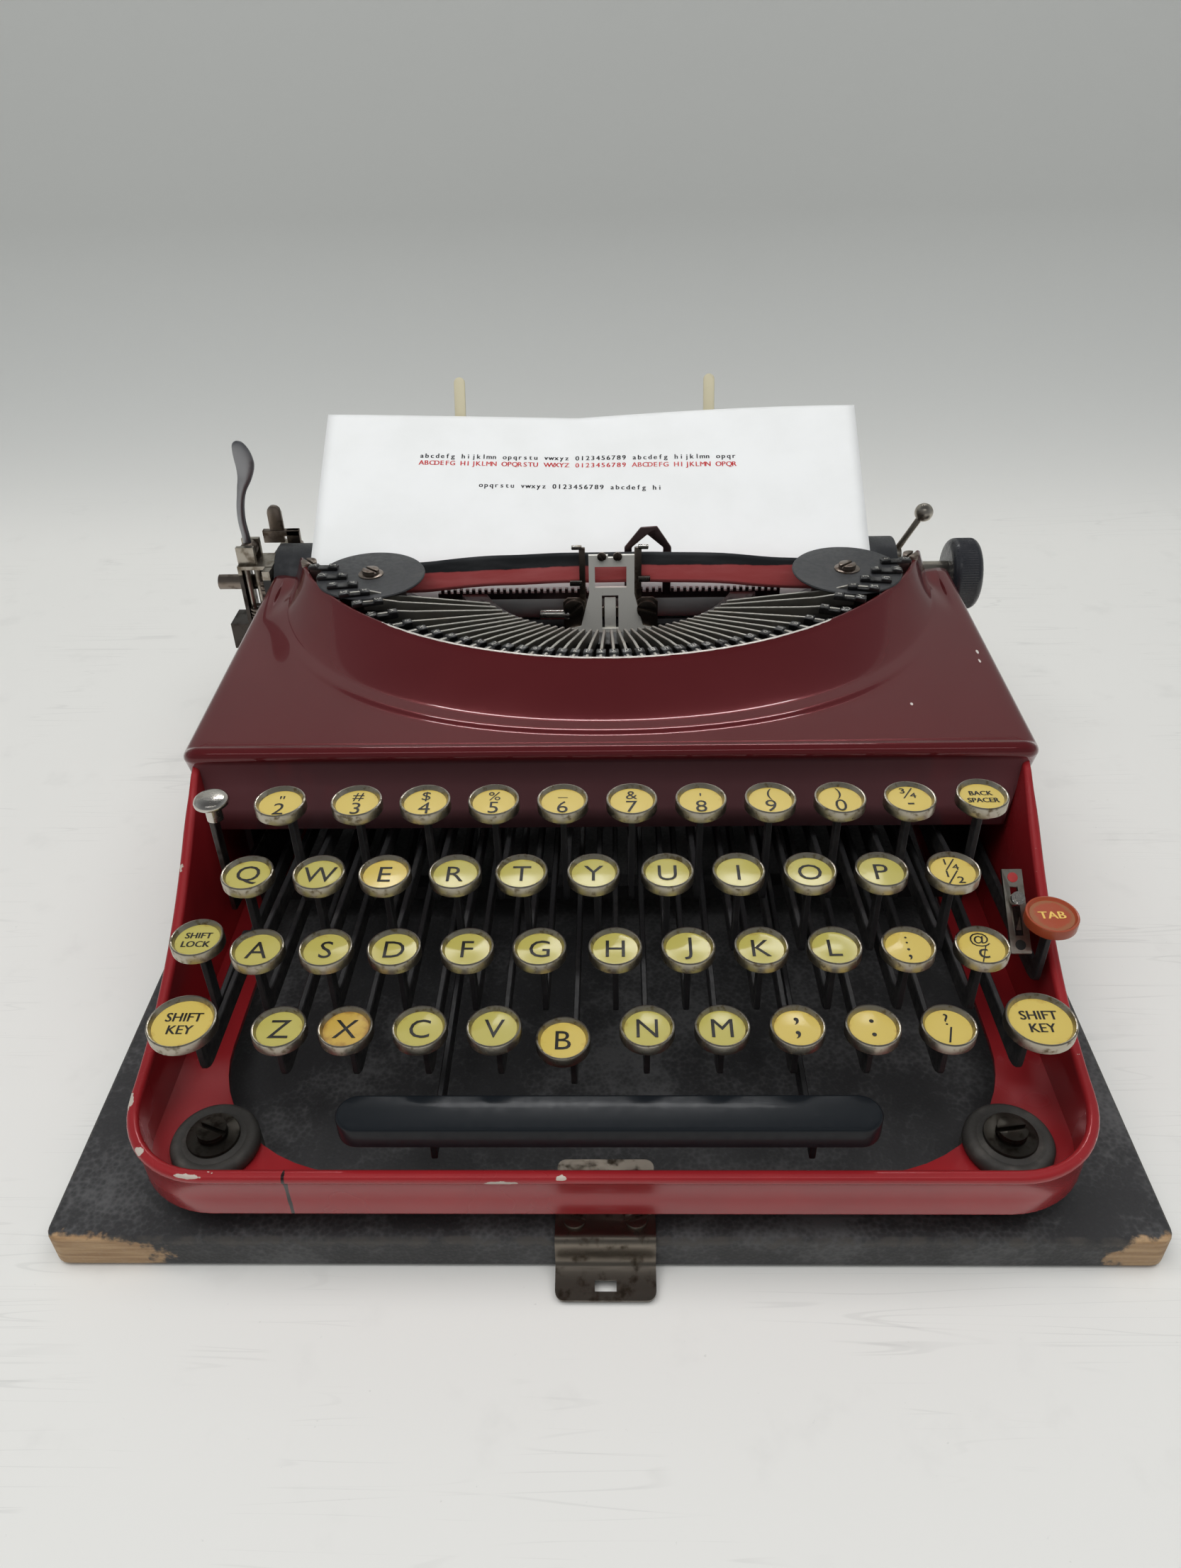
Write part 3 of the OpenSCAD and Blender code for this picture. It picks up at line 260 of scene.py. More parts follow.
def flowing(points: Sequence[Point], steps: int = 8) -> list[Vector]:
    """Points of a smooth line through some points.

    Args:
        points: The points that the line passes through.
        steps: The number of steps between two of them.

    Returns:
        The points of the line.
    """
    knots = [Vector(p) for p in points]
    line: list[Vector] = []
    for i in range(len(knots) - 1):
        a, b = knots[i], knots[i + 1]
        before = knots[i - 1] if i else a
        after = knots[i + 2] if i + 2 < len(knots) else b
        line += interpolate_bezier(a, a + (b - before) / 6, b - (after - a) / 6, b, steps + 1)[:-1]
    return line + [knots[-1]]


def bent_grid(rows: int, columns: int, place: Callable[[int, int], Point]) -> BMesh:
    """Bends a grid into a swept sheet, and joins what meets.

    Args:
        rows: The number of points across the sheet.
        columns: The number of points along it.
        place: Gives the place of the point in a row and a column.

    Returns:
        The sheet, with its faces turned the same way.
    """
    shape = bmesh.new()
    bmesh.ops.create_grid(shape, x_segments=rows - 1, y_segments=columns - 1, size=0.5)
    for vert in shape.verts:
        vert.co = place(round((vert.co.x + 0.5) * (rows - 1)), round((vert.co.y + 0.5) * (columns - 1)))
    bmesh.ops.remove_doubles(shape, verts=shape.verts, dist=MERGE)
    bmesh.ops.recalc_face_normals(shape, faces=shape.faces)
    return shape


def tube(path: Sequence[Point], radius: Callable[[float], Pair], steps: int = 20) -> BMesh:
    """Sweeps an ellipse along a path in the plane of x and z, with closed ends.

    Args:
        path: The points of the middle line.
        radius: Half the width and half the depth at a share of the way along.
        steps: The number of steps round the ellipse.

    Returns:
        The swept shape.
    """
    last = len(path) - 1

    def place(row: int, column: int) -> Point:
        """One point of the sweep."""
        here = Vector(path[column])
        along = Vector(path[min(column + 1, last)]) - Vector(path[max(column - 1, 0)])
        side = Vector((along.z, 0, -along.x)).normalized()
        wide, deep = radius(column / last)
        turn = tau * row / steps
        return here + side * wide * cos(turn) + Vector((0, 1, 0)) * deep * sin(turn)

    shape = bent_grid(steps + 1, last + 1, place)
    bmesh.ops.holes_fill(shape, edges=[e for e in shape.edges if e.is_boundary], sides=0)
    bmesh.ops.recalc_face_normals(shape, faces=shape.faces)
    return shape


def linked(name: str, data: object) -> Object:
    """Makes an object of some data and puts it into the scene."""
    made = bpy.data.objects.new(name, data)
    bpy.context.scene.collection.objects.link(made)
    return made


@dataclass
class Piece:
    """One visible piece: its shape in millimetres, its finishes and the body that carries it."""

    name: str
    body: str
    slot: str
    finishes: Sequence[Finish]
    stands_for: Sequence[str] = ()
    shape: BMesh = field(default_factory=bmesh.new)

    # A screw's slot: its foot as a share of the height, and half its width as a share of the radius
    SLOT_FOOT = 0.55
    SLOT_HALF = 0.15
    # How far the halves beside the slot reach down into its foot
    SUNK = 0.05

    def add(self, part: BMesh, finish: int = 0, place: Matrix | None = None,
            wear: Callable[[Vector], float] | None = None) -> None:
        """Joins a part into the piece and frees it.

        Args:
            part: The part.
            finish: The index of its finish.
            place: A placing that is applied to it first.
            wear: Gives how worn or how near the rim a point is, from 0 to 1.
        """
        if place is not None:
            bmesh.ops.transform(part, matrix=place, verts=part.verts)
            if place.determinant() < 0:
                bmesh.ops.reverse_faces(part, faces=part.faces)
        layer = part.verts.layers.float.new("wear")
        for vert in part.verts:
            vert[layer] = wear(vert.co) if wear else 0.0
        for face in part.faces:
            face.material_index = finish
            face.smooth = True
        mesh = bpy.data.meshes.new("part")
        part.to_mesh(mesh)
        part.free()
        self.shape.from_mesh(mesh)
        bpy.data.meshes.remove(mesh)

    def screw(self, at: Point, direction: Point, size: Pair, turn: float = 0.0,
              finish: int = 0) -> None:
        """Adds a screw's head with a slot across it.

        Args:
            at: The middle of its underside.
            direction: The way that it faces.
            size: Its radius and height.
            turn: How many degrees the slot is turned.
            finish: The index of its finish.
        """
        radius, height = size
        low = height * self.SLOT_FOOT
        gap = math.asin(self.SLOT_HALF)
        place = aim(at, direction) @ Matrix.Rotation(radians(turn), 4, "Z")
        self.add(rod((0, 0, 0), (0, 0, low), radius, 32, 0.1), finish, place)
        arc = [mix(gap, pi - gap, i / 14) for i in range(15)]
        half = [(radius * cos(a), radius * sin(a)) for a in arc]
        for flip in (0, pi):
            top = plate(half, height - low + self.SUNK, min(0.2, 0.35 * (height - low)))
            lift = Matrix.Translation((0, 0, low - self.SUNK))
            self.add(top, finish, place @ Matrix.Rotation(flip, 4, "Z") @ lift)

    def finish(self, sharp: float = 38.0) -> Object:
        """Makes the object, puts it on its body and reports it.

        Args:
            sharp: The angle in degrees past which an edge is drawn sharp.

        Returns:
            The object.
        """
        bmesh.ops.scale(self.shape, vec=(MM, MM, MM), verts=self.shape.verts)
        mesh = bpy.data.meshes.new(self.name)
        self.shape.to_mesh(mesh)
        self.shape.free()
        mesh.set_sharp_from_angle(angle=radians(sharp))
        for finish in self.finishes:
            mesh.materials.append(finish.make())
        made = linked(self.name, mesh)
        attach(made, self.body)
        if self.stands_for:
            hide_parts(*self.stands_for)
        LOG.info("%s: %d faces on %s", self.name, len(mesh.polygons), self.body)
        return made


def dress(node: str, finish: Finish, bevel: float = 0.25, segments: int = 2) -> None:
    """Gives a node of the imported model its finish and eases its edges.

    Args:
        node: The node's name.
        finish: The finish.
        bevel: The rounding of its edges in millimetres.
        segments: The number of steps across the rounding.
    """
    made = bpy.data.objects[node]
    made.data.materials.clear()
    made.data.materials.append(finish.make())
    weld = made.modifiers.new("weld", "WELD")
    weld.merge_threshold = WELD
    ease_edges = made.modifiers.new("edges", "BEVEL")
    ease_edges.width = bevel * MM
    ease_edges.segments = segments
    ease_edges.limit_method = "ANGLE"
    ease_edges.angle_limit = radians(EASED_ANGLE)
    ease_edges.harden_normals = True
    LOG.info("%s: kept from the packed model", node)


class Graph:
    """Node tree of one finish, with short calls for its patterns."""

    def __init__(self, name: str) -> None:
        """Starts the tree with its shader and the place on the piece."""
        self.material = bpy.data.materials.new(name)
        self.material.use_nodes = True
        self.tree = self.material.node_tree
        self.shader = self.tree.nodes["Principled BSDF"]
        self.where = self.node("ShaderNodeTexCoord").outputs["Object"]

    def node(self, kind: str, inputs: dict[int | str, object] | None = None, **settings: object) -> Node:
        """Adds a node.

        Args:
            kind: The node's type.
            inputs: A value or a socket for each input that isn't left as it is.
            settings: Values of the node's own properties.

        Returns:
            The node.
        """
        made = self.tree.nodes.new(kind)
        for name, value in settings.items():
            setattr(made, name, value)
        for name, value in (inputs or {}).items():
            if isinstance(value, NodeSocket):
                self.tree.links.new(value, made.inputs[name])
            else:
                made.inputs[name].default_value = value
        return made

    def stretched(self, scale: Point) -> NodeSocket:
        """The place on the piece, stretched along the axes."""
        return self.node("ShaderNodeMapping", {"Vector": self.where, "Scale": scale}).outputs[0]

    def noise(self, grain: float, detail: float = 3.0, where: NodeSocket | None = None) -> NodeSocket:
        """Noise whose grain is given in millimetres."""
        inputs = {"Vector": where or self.where, "Scale": 1 / (grain * MM), "Detail": detail,
                  "Roughness": 0.55}
        return self.node("ShaderNodeTexNoise", inputs).outputs["Fac"]

    def cells(self, grain: float) -> NodeSocket:
        """Distance from the middles of cells whose size is given in millimetres."""
        inputs = {"Vector": self.where, "Scale": 1 / (grain * MM)}
        return self.node("ShaderNodeTexVoronoi", inputs).outputs["Distance"]

    def step(self, value: NodeSocket, low: float, high: float, out: Point = (0.0, 1.0)) -> NodeSocket:
        """Smooth step of a value between two bounds."""
        inputs = {"Value": value, "From Min": low, "From Max": high, "To Min": out[0], "To Max": out[1]}
        return self.node("ShaderNodeMapRange", inputs, interpolation_type="SMOOTHSTEP").outputs["Result"]

    def math(self, kind: str, a: NodeSocket | float, b: NodeSocket | float) -> NodeSocket:
        """Sum, product or other operation on two values, kept from 0 to 1 unless it is a sum."""
        return self.node("ShaderNodeMath", {0: a, 1: b}, operation=kind, use_clamp=kind != "ADD").outputs[0]

    def blend(self, share: NodeSocket, a: NodeSocket | Colour, b: NodeSocket | Colour) -> NodeSocket:
        """Colour at a share of the way from a to b."""
        full = [c if isinstance(c, NodeSocket) else (*c, 1.0) for c in (a, b)]
        return self.node("ShaderNodeMix", {0: share, 6: full[0], 7: full[1]}, data_type="RGBA").outputs[2]

    def axis(self, name: str) -> NodeSocket:
        """One coordinate of the place on the piece, in metres."""
        return self.node("ShaderNodeSeparateXYZ", {0: self.where}).outputs[name]

    def near(self, centre: Point, reach: Point) -> NodeSocket:
        """Distance from a place, as a share of the reach along each axis."""
        scale = [1 / (r * MM) for r in reach]
        offset = [-c / r for c, r in zip(centre, reach)]
        inputs = {"Vector": self.where, "Location": offset, "Scale": scale}
        moved = self.node("ShaderNodeMapping", inputs).outputs[0]
        return self.node("ShaderNodeVectorMath", {0: moved}, operation="LENGTH").outputs["Value"]

    def wear(self) -> NodeSocket:
        """How worn or how near the rim a point is."""
        return self.node("ShaderNodeAttribute", attribute_name="wear").outputs["Fac"]

    def bump(self, height: NodeSocket, depth: float, strength: float = 1.0) -> None:
        """Raises the surface by a height of so many millimetres."""
        inputs = {"Height": height, "Distance": depth * MM, "Strength": strength}
        self.paint({"Normal": self.node("ShaderNodeBump", inputs).outputs[0]})

    def paint(self, values: dict[str, object]) -> None:
        """Sets or links sockets of the shader."""
        for name, value in values.items():
            if isinstance(value, NodeSocket):
                self.tree.links.new(value, self.shader.inputs[name])
            else:
                self.shader.inputs[name].default_value = (*value, 1.0) if isinstance(value, tuple) else value


@dataclass(frozen=True)
class Finish:
    """A finish, which is made once, when the first piece asks for it."""

    name: str

    @functools.cache
    def make(self) -> Material:
        """Makes the material."""
        graph = Graph(self.name)
        self.draw(graph)
        return graph.material

    def draw(self, graph: Graph) -> None:
        """Draws the finish."""
        raise NotImplementedError


@dataclass(frozen=True)
class Enamel(Finish):
    """Stove enamel with a metallic glow, fine dust, chips where it is worn, and, where it is given, a painted
    reflection on the front face.
    """

    colour: Colour
    shade: Colour
    bare: Colour
    glow: float
    chips: float
    gloss: float = 0.22
    scars: Spots = ()
    cracks: Spots = ()
    coat: float = 0.12
    mirror: float = 0.5
    # Colour of the painted reflection on the front face below the ridge, if there is one
    painted_reflection: Colour | None = None

    # The painted reflection, a lighter greyish tone on the cover's front face, lies below this height and
    # before this depth: where it starts, and where it is full
    PAINTED_REFLECTION_Z = (87.5, 85.0)
    PAINTED_REFLECTION_Y = (-35.5, -36.5)
    DUST = (0.3, 0.2, 0.19)
    CRACK = (0.012, 0.006, 0.006)

    def draw(self, graph: Graph) -> None:
        """Draws the finish."""
        body = graph.blend(graph.step(graph.noise(38, 4), 0.3, 0.7), self.colour, self.shade)
        dust = graph.step(graph.noise(1.1, 5), 0.7, 0.82, (0.0, 0.1))
        body = graph.blend(dust, body, self.DUST)
        for centre, reach in self.cracks:
            wobble = graph.math("ADD", graph.near(centre, reach), graph.noise(2.5, 3))
            body = graph.blend(graph.step(wobble, 1.5, 1.3), body, self.CRACK)
        # Painted reflection: the front face below the ridge is blended towards a lighter grey
        if self.painted_reflection:
            under = graph.step(graph.axis("Z"), *(z * MM for z in self.PAINTED_REFLECTION_Z))
            front = graph.step(graph.axis("Y"), *(y * MM for y in self.PAINTED_REFLECTION_Y))
            body = graph.blend(graph.math("MULTIPLY", under, front), body, self.painted_reflection)
        worn = graph.math("MULTIPLY", graph.wear(), self.chips)
        chip = graph.step(graph.math("ADD", graph.noise(2.4, 6), worn), 0.86, 0.9)
        for centre, reach in self.scars:
            ragged = graph.math("ADD", graph.near(centre, reach), graph.noise(1.6, 4))
            chip = graph.math("MAXIMUM", chip, graph.step(ragged, 1.36, 1.26))
        graph.paint({"Base Color": graph.blend(chip, body, self.bare),
                     "Metallic": graph.step(chip, 0.0, 1.0, (self.glow, 0.5 * self.glow)),
                     "Roughness": graph.step(graph.noise(34, 3), 0.35, 0.75, (self.gloss, self.gloss + 0.05)),
                     "Coat Weight": self.coat, "Coat Roughness": 0.05, "Specular IOR Level": self.mirror})
        height = graph.math("SUBTRACT", graph.noise(5, 2), graph.math("MULTIPLY", chip, 3.0))
        graph.bump(height, 0.02, 0.3)


@dataclass(frozen=True)
class Metal(Finish):
    """Bare or plated metal with tarnish in patches and fine scratches."""

    colour: Colour
    tarnish: Colour
    amount: float
    gloss: float
    grain: float = 6.0
    shine: float = 1.0

    def draw(self, graph: Graph) -> None:
        """Draws the finish."""
        patch = graph.step(graph.noise(self.grain, 6), 0.72 - self.amount * 0.5, 0.86 - self.amount * 0.3)
        body = graph.blend(patch, self.colour, self.tarnish)
        scratch = graph.noise(0.5, 2, graph.stretched((0.08, 1.0, 1.0)))
        rough = graph.step(graph.math("ADD", patch, scratch), 0.3, 1.5, (self.gloss, self.gloss + 0.3))
        graph.paint({"Base Color": body, "Metallic": self.shine, "Roughness": rough})
        graph.bump(graph.math("ADD", scratch, patch), 0.02, 0.35)


@dataclass(frozen=True)
class Paint(Finish):
    """Dark lacquer, rubber or moulded stuff with dust, scuffs and a fine grain."""

    colour: Colour
    scuff: Colour
    rough: float
    grain: float = 0.8
    depth: float = 0.04
    coat: float = 0.0
    amount: float = 0.25
    mirror: float = 0.5

    def draw(self, graph: Graph) -> None:
        """Draws the finish."""
        dust = graph.step(graph.noise(7, 6), 0.75 - self.amount, 0.95 - self.amount * 0.5)
        rubbed = graph.step(graph.math("ADD", graph.noise(3, 5), graph.wear()), 0.9, 1.2)
        share = graph.math("MAXIMUM", dust, rubbed)
        grain = graph.noise(self.grain, 3)
        graph.paint({"Base Color": graph.blend(share, self.colour, self.scuff),
                     "Roughness": graph.step(grain, 0.3, 0.7, (self.rough - 0.06, self.rough + 0.08)),
                     "Coat Weight": self.coat, "Coat Roughness": 0.1, "Specular IOR Level": self.mirror})
        graph.bump(grain, self.depth, 0.6)


@dataclass(frozen=True)
class Leatherette(Finish):
    """Pebbled black cloth, rubbed grey, and worn to the wood at the front corners."""

    name: str = "leatherette"
    cloth: Tones = ((0.031, 0.031, 0.032), (0.085, 0.085, 0.086))
    edge: Colour = (0.06, 0.055, 0.05)
    wood: Tones = ((0.46, 0.31, 0.17), (0.3, 0.18, 0.09))
    bare: Spots = (((-147.5, -148, 5), (32, 6, 9)), ((144.5, -148, 5), (17, 5, 9)),
                   ((-147.5, 147, 7), (6, 9, 8)), ((144.5, 147, 7), (8, 6, 8)))

    def draw(self, graph: Graph) -> None:
        """Draws the finish."""
        pebble = graph.math("ADD", graph.cells(1.3), graph.math("MULTIPLY", graph.noise(0.6, 4), 0.6))
        blotch = graph.math("ADD", graph.noise(26, 6), graph.math("MULTIPLY", pebble, 0.25))
        cloth = graph.blend(graph.step(blotch, 0.62, 0.95), *self.cloth)
        edge = graph.step(graph.math("ADD", graph.wear(), graph.noise(4, 6)), 1.3, 1.62)
        cloth = graph.blend(edge, cloth, self.edge)
        frayed = graph.math("MULTIPLY", graph.noise(3.5, 6), 0.9)
        spots = [graph.step(graph.math("ADD", graph.near(*spot), frayed), 1.5, 1.3) for spot in self.bare]
        bare = functools.reduce(functools.partial(graph.math, "ADD"), spots)
        grain = graph.noise(1.4, 4, graph.stretched((0.06, 1.0, 1.0)))
        wood = graph.blend(graph.step(grain, 0.3, 0.7), *self.wood)
        graph.paint({"Base Color": graph.blend(bare, cloth, wood), "Specular IOR Level": 0.42,
                     "Roughness": graph.step(pebble, 0.2, 0.9, (0.46, 0.62))})
        graph.bump(pebble, 0.14, 0.8)


@dataclass(frozen=True)
class Card(Finish):
    """Yellowed key card under glass, browner towards its rim."""

    colour: Colour
    stain: Colour
    amount: float

    def draw(self, graph: Graph) -> None:
        """Draws the finish."""
        blot = graph.noise(2.6, 6)
        rim = graph.math("ADD", graph.math("MULTIPLY", graph.wear(), 0.42), blot)
        share = graph.step(rim, 1.02 - self.amount, 1.32 - self.amount * 0.7)
        graph.paint({"Base Color": graph.blend(share, self.colour, self.stain), "Roughness": 0.5,
                     "Coat Weight": 0.35, "Coat Roughness": 0.12})
        graph.bump(graph.noise(0.4, 3), 0.01, 0.4)


@dataclass(frozen=True)
class RibbonCloth(Finish):
    """Woven ribbon, black over red, dry and faded in patches."""

    name: str = "ribbon_cloth"
    edge: float = 93.0
    slope: float = 0.012
    red: Tones = ((0.6, 0.1, 0.1), (0.68, 0.16, 0.16))
    black: Tones = ((0.02, 0.022, 0.024), (0.05, 0.052, 0.055))

    def draw(self, graph: Graph) -> None:
        """Draws the finish."""
        fade = graph.step(graph.noise(9, 5, graph.stretched((0.4, 1, 2.0))), 0.35, 0.75)
        red = graph.blend(fade, *self.red)
        black = graph.blend(fade, *self.black)
        ragged = graph.math("ADD", graph.axis("Z"), graph.math("MULTIPLY", graph.noise(5, 3), 0.0012))
        inputs = {0: graph.axis("X"), 1: -self.slope, 2: ragged}
        level = graph.node("ShaderNodeMath", inputs, operation="MULTIPLY_ADD").outputs[0]
        over = graph.step(level, (self.edge + 0.3) * MM, (self.edge + 0.9) * MM)
        graph.paint({"Base Color": graph.blend(over, red, black), "Roughness": 0.82, "Sheen Weight": 0.15})
        graph.bump(graph.noise(0.3, 1), 0.05, 0.6)


@dataclass(frozen=True)
class PaperStock(Finish):
    """White typing paper with a faint tooth."""

    name: str = "typing_paper"
    tones: Tones = ((0.84, 0.85, 0.845), (0.8, 0.81, 0.8))

    def draw(self, graph: Graph) -> None:
        """Draws the finish."""
        tone = graph.blend(graph.step(graph.noise(30, 4), 0.3, 0.7), *self.tones)
        graph.paint({"Base Color": tone, "Roughness": 0.72, "Specular IOR Level": 0.3})
        graph.bump(graph.noise(0.35, 3), 0.012, 0.5)


@dataclass(frozen=True)
class Backdrop(Finish):
    """Pale painted floor with smudges and fine scratches, which turns into a plain grey wall behind."""

    name: str = "backdrop"
    floor: Colour = (0.76, 0.755, 0.725)
    wall: Colour = (0.5, 0.51, 0.495)
    smudge: Colour = (0.3, 0.3, 0.29)
    scratches: tuple[Pair, ...] = ((35.0, 9.0), (-52.0, 13.0), (80.0, 17.0))

    def draw(self, graph: Graph) -> None:
        """Draws the finish."""
        rise = graph.step(graph.axis("Y"), 0.29, 0.45)
        tone = graph.blend(rise, self.floor, self.wall)
        share = graph.step(graph.noise(22, 7), 0.56, 0.78, (0.0, 0.1))
        share = graph.math("ADD", share, graph.step(graph.noise(2.2, 5), 0.71, 0.77, (0.0, 0.22)))
        for turn, grain in self.scratches:
            turned = (0, 0, radians(turn))
            inputs = {"Vector": graph.where, "Rotation": turned, "Scale": (0.05, 1.0, 1.0)}
            along = graph.node("ShaderNodeMapping", inputs).outputs[0]
            inputs = {0: graph.noise(grain, 1, along), 1: 0.5}
            off = graph.node("ShaderNodeMath", inputs, operation="SUBTRACT").outputs[0]
            near = graph.node("ShaderNodeMath", {0: off}, operation="ABSOLUTE").outputs[0]
            line = graph.step(near, 0.007, 0.002, (0.0, 0.13))
            patch = graph.step(graph.noise(60, 3), 0.5, 0.62)
            share = graph.math("ADD", share, graph.math("MULTIPLY", line, patch))
        share = graph.math("MULTIPLY", share, graph.step(rise, 0.6, 0.0))
        graph.paint({"Base Color": graph.blend(share, tone, self.smudge), "Roughness": 0.62,
                     "Specular IOR Level": 0.25})


# Scars and cracks of the enamels are given by their middle and their reach along each axis
FRAME_SCARS = (((-26.5, -146.5, 35.6), (4.6, 3.0, 1.0)), ((-11.5, -146.5, 37.0), (1.5, 2.0, 0.6)),
               ((-125.5, -124.0, 38.0), (1.6, 3.4, 2.0)), ((-118.5, -139.0, 37.3), (2.0, 1.4, 0.9)),
               ((-105.0, -146.5, 37.2), (5.0, 1.2, 0.6)), ((-125.5, -62.0, 67.0), (1.5, 3.0, 3.0)))
FRAME_CRACKS = (((-80.2, -146.3, 30.0), (0.55, 3.0, 13.0)),)
COVER_SCARS = (((123.9, 22.3, 88.4), (0.5, 1.7, 1.5)), ((123.1, 16.2, 88.4), (0.45, 1.5, 1.5)),
               ((95.1, -10.7, 88.5), (0.5, 0.9, 1.2)))
CRIMSON = Enamel("crimson_enamel", (0.32, 0.018, 0.022), (0.27, 0.015, 0.019), (0.5, 0.44, 0.38),
                 glow=0.12, chips=0.15, gloss=0.24, scars=FRAME_SCARS, cracks=FRAME_CRACKS)
# The maroon's last colour is a painted reflection on the cover's front face
MAROON = Enamel("maroon_enamel", (0.11, 0.0135, 0.016), (0.102, 0.012, 0.0145), (0.62, 0.58, 0.53),
                glow=0.38, chips=1.2, gloss=0.2, scars=COVER_SCARS, coat=0.62, mirror=0.07,
                painted_reflection=(0.26, 0.11, 0.12))

# Metals: colour, tarnish, how much of that, roughness, grain of the tarnish, and how metallic
NICKEL = Metal("nickel", (0.63, 0.6, 0.55), (0.36, 0.31, 0.25), 0.3, 0.2)
DULL_NICKEL = Metal("dull_nickel", (0.5, 0.46, 0.4), (0.24, 0.19, 0.14), 0.55, 0.3)
LATCH_METAL = Metal("latch_metal", (0.23, 0.2, 0.165), (0.1, 0.078, 0.056), 0.5, 0.36, 4.0)
SPOON_NICKEL = Metal("spoon_nickel", (0.34, 0.34, 0.355), (0.17, 0.16, 0.16), 0.35, 0.36, 14.0)
RING_NICKEL = Metal("ring_nickel", (0.5, 0.46, 0.38), (0.25, 0.2, 0.13), 0.45, 0.3, 1.8)
# The guide's near-white colour, with little metal in it, is a painted reflection: the bright shine of its
# nickel is put into the colour
GUIDE_NICKEL_PAINTED_SHINE = Metal("guide_nickel_painted_shine", (0.92, 0.9, 0.83), (0.6, 0.54, 0.43), 0.15, 0.4, 6.0, 0.3)
BAR_STEEL = Metal("bar_steel", (0.56, 0.54, 0.49), (0.36, 0.31, 0.25), 0.3, 0.36)
SLUG_STEEL = Metal("slug_steel", (0.1, 0.1, 0.1), (0.05, 0.047, 0.045), 0.5, 0.34, 4.0)
TYPE_FACE = Metal("type_face", (0.75, 0.73, 0.68), (0.5, 0.46, 0.4), 0.2, 0.25)
DARK_STEEL = Metal("dark_steel", (0.1, 0.092, 0.088), (0.06, 0.05, 0.045), 0.5, 0.36)
BROWN_STEEL = Metal("brown_steel", (0.27, 0.225, 0.19), (0.14, 0.1, 0.075), 0.5, 0.32, 4.0)
SCALE_STEEL = Metal("scale_steel", (0.15, 0.1, 0.1), (0.085, 0.055, 0.055), 0.4, 0.4, 3.0)
FOOT_STEEL = Metal("foot_steel", (0.1, 0.092, 0.078), (0.055, 0.046, 0.036), 0.5, 0.36, 3.0)

# Lacquers, rubber and inks: colour, scuffs, roughness, grain, depth of the grain, coat, dust, and mirror
SPOOL_BLACK = Paint("spool_black", (0.031, 0.032, 0.034), (0.056, 0.055, 0.053), 0.42, 1.6, 0.008, 0.0, 0.22,
                    0.32)
JAPAN = Paint("japan_black", (0.011, 0.011, 0.012), (0.05, 0.047, 0.043), 0.34, 1.4, 0.02, 0.2, 0.2)
INNER_BLACK = Paint("inner_black", (0.01, 0.01, 0.0105), (0.026, 0.025, 0.024), 0.62, 1.4, 0.02, 0.0, 0.2)
LEVER_BLACK = Paint("lever_black", (0.02, 0.02, 0.021), (0.045, 0.043, 0.041), 0.5, 1.2, 0.03, 0.0, 0.25)
RUBBER = Paint("black_rubber", (0.038, 0.036, 0.033), (0.095, 0.087, 0.078), 0.6, 0.7, 0.05, 0.0, 0.3)
PLATEN_RUBBER = Paint("platen_rubber", (0.02, 0.021, 0.023), (0.045, 0.046, 0.049), 0.45, 0.8, 0.02, 0.0, 0.3)
KNOB_BLACK = Paint("knob_black", (0.018, 0.019, 0.023), (0.05, 0.05, 0.053), 0.3, 1.6, 0.015, 0.2, 0.2)
SLATE = Paint("slate_gloss", (0.008, 0.01, 0.0125), (0.035, 0.037, 0.04), 0.34, 2.0, 0.01, 0.06, 0.12, 0.18)
ORANGE = Paint("orange_gloss", (0.32, 0.055, 0.02), (0.27, 0.095, 0.037), 0.34, 1.5, 0.02, 0.2, 0.25)
GOLD_INK = Paint("gold_ink", (0.75, 0.5, 0.12), (0.6, 0.42, 0.12), 0.5)
BLACK_INK = Paint("black_ink", (0.012, 0.011, 0.01), (0.03, 0.027, 0.02), 0.5)
TYPED_BLACK = Paint("typed_black", (0.012, 0.012, 0.014), (0.07, 0.07, 0.075), 0.7, 0.3, 0.0, 0.0, 0.35)
TYPED_RED = Paint("typed_red", (0.5, 0.03, 0.035), (0.62, 0.16, 0.15), 0.7, 0.3, 0.0, 0.0, 0.35)
RED_DOT = Paint("red_dot", (0.36, 0.02, 0.02), (0.2, 0.03, 0.03), 0.4)
FINGER_CREAM = Paint("cream_lacquer", (0.62, 0.57, 0.4), (0.44, 0.38, 0.24), 0.38, 2.0, 0.01, 0.2, 0.2)

# Key cards: colour, stain, and how much of that
CREAM = Card("cream_card", (0.58, 0.44, 0.1), (0.42, 0.26, 0.045), 0.18)
PALE = Card("lemon_card", (0.44, 0.385, 0.092), (0.33, 0.24, 0.05), 0.18)
BROWN = Card("amber_card", (0.5, 0.33, 0.06), (0.3, 0.16, 0.03), 0.42)


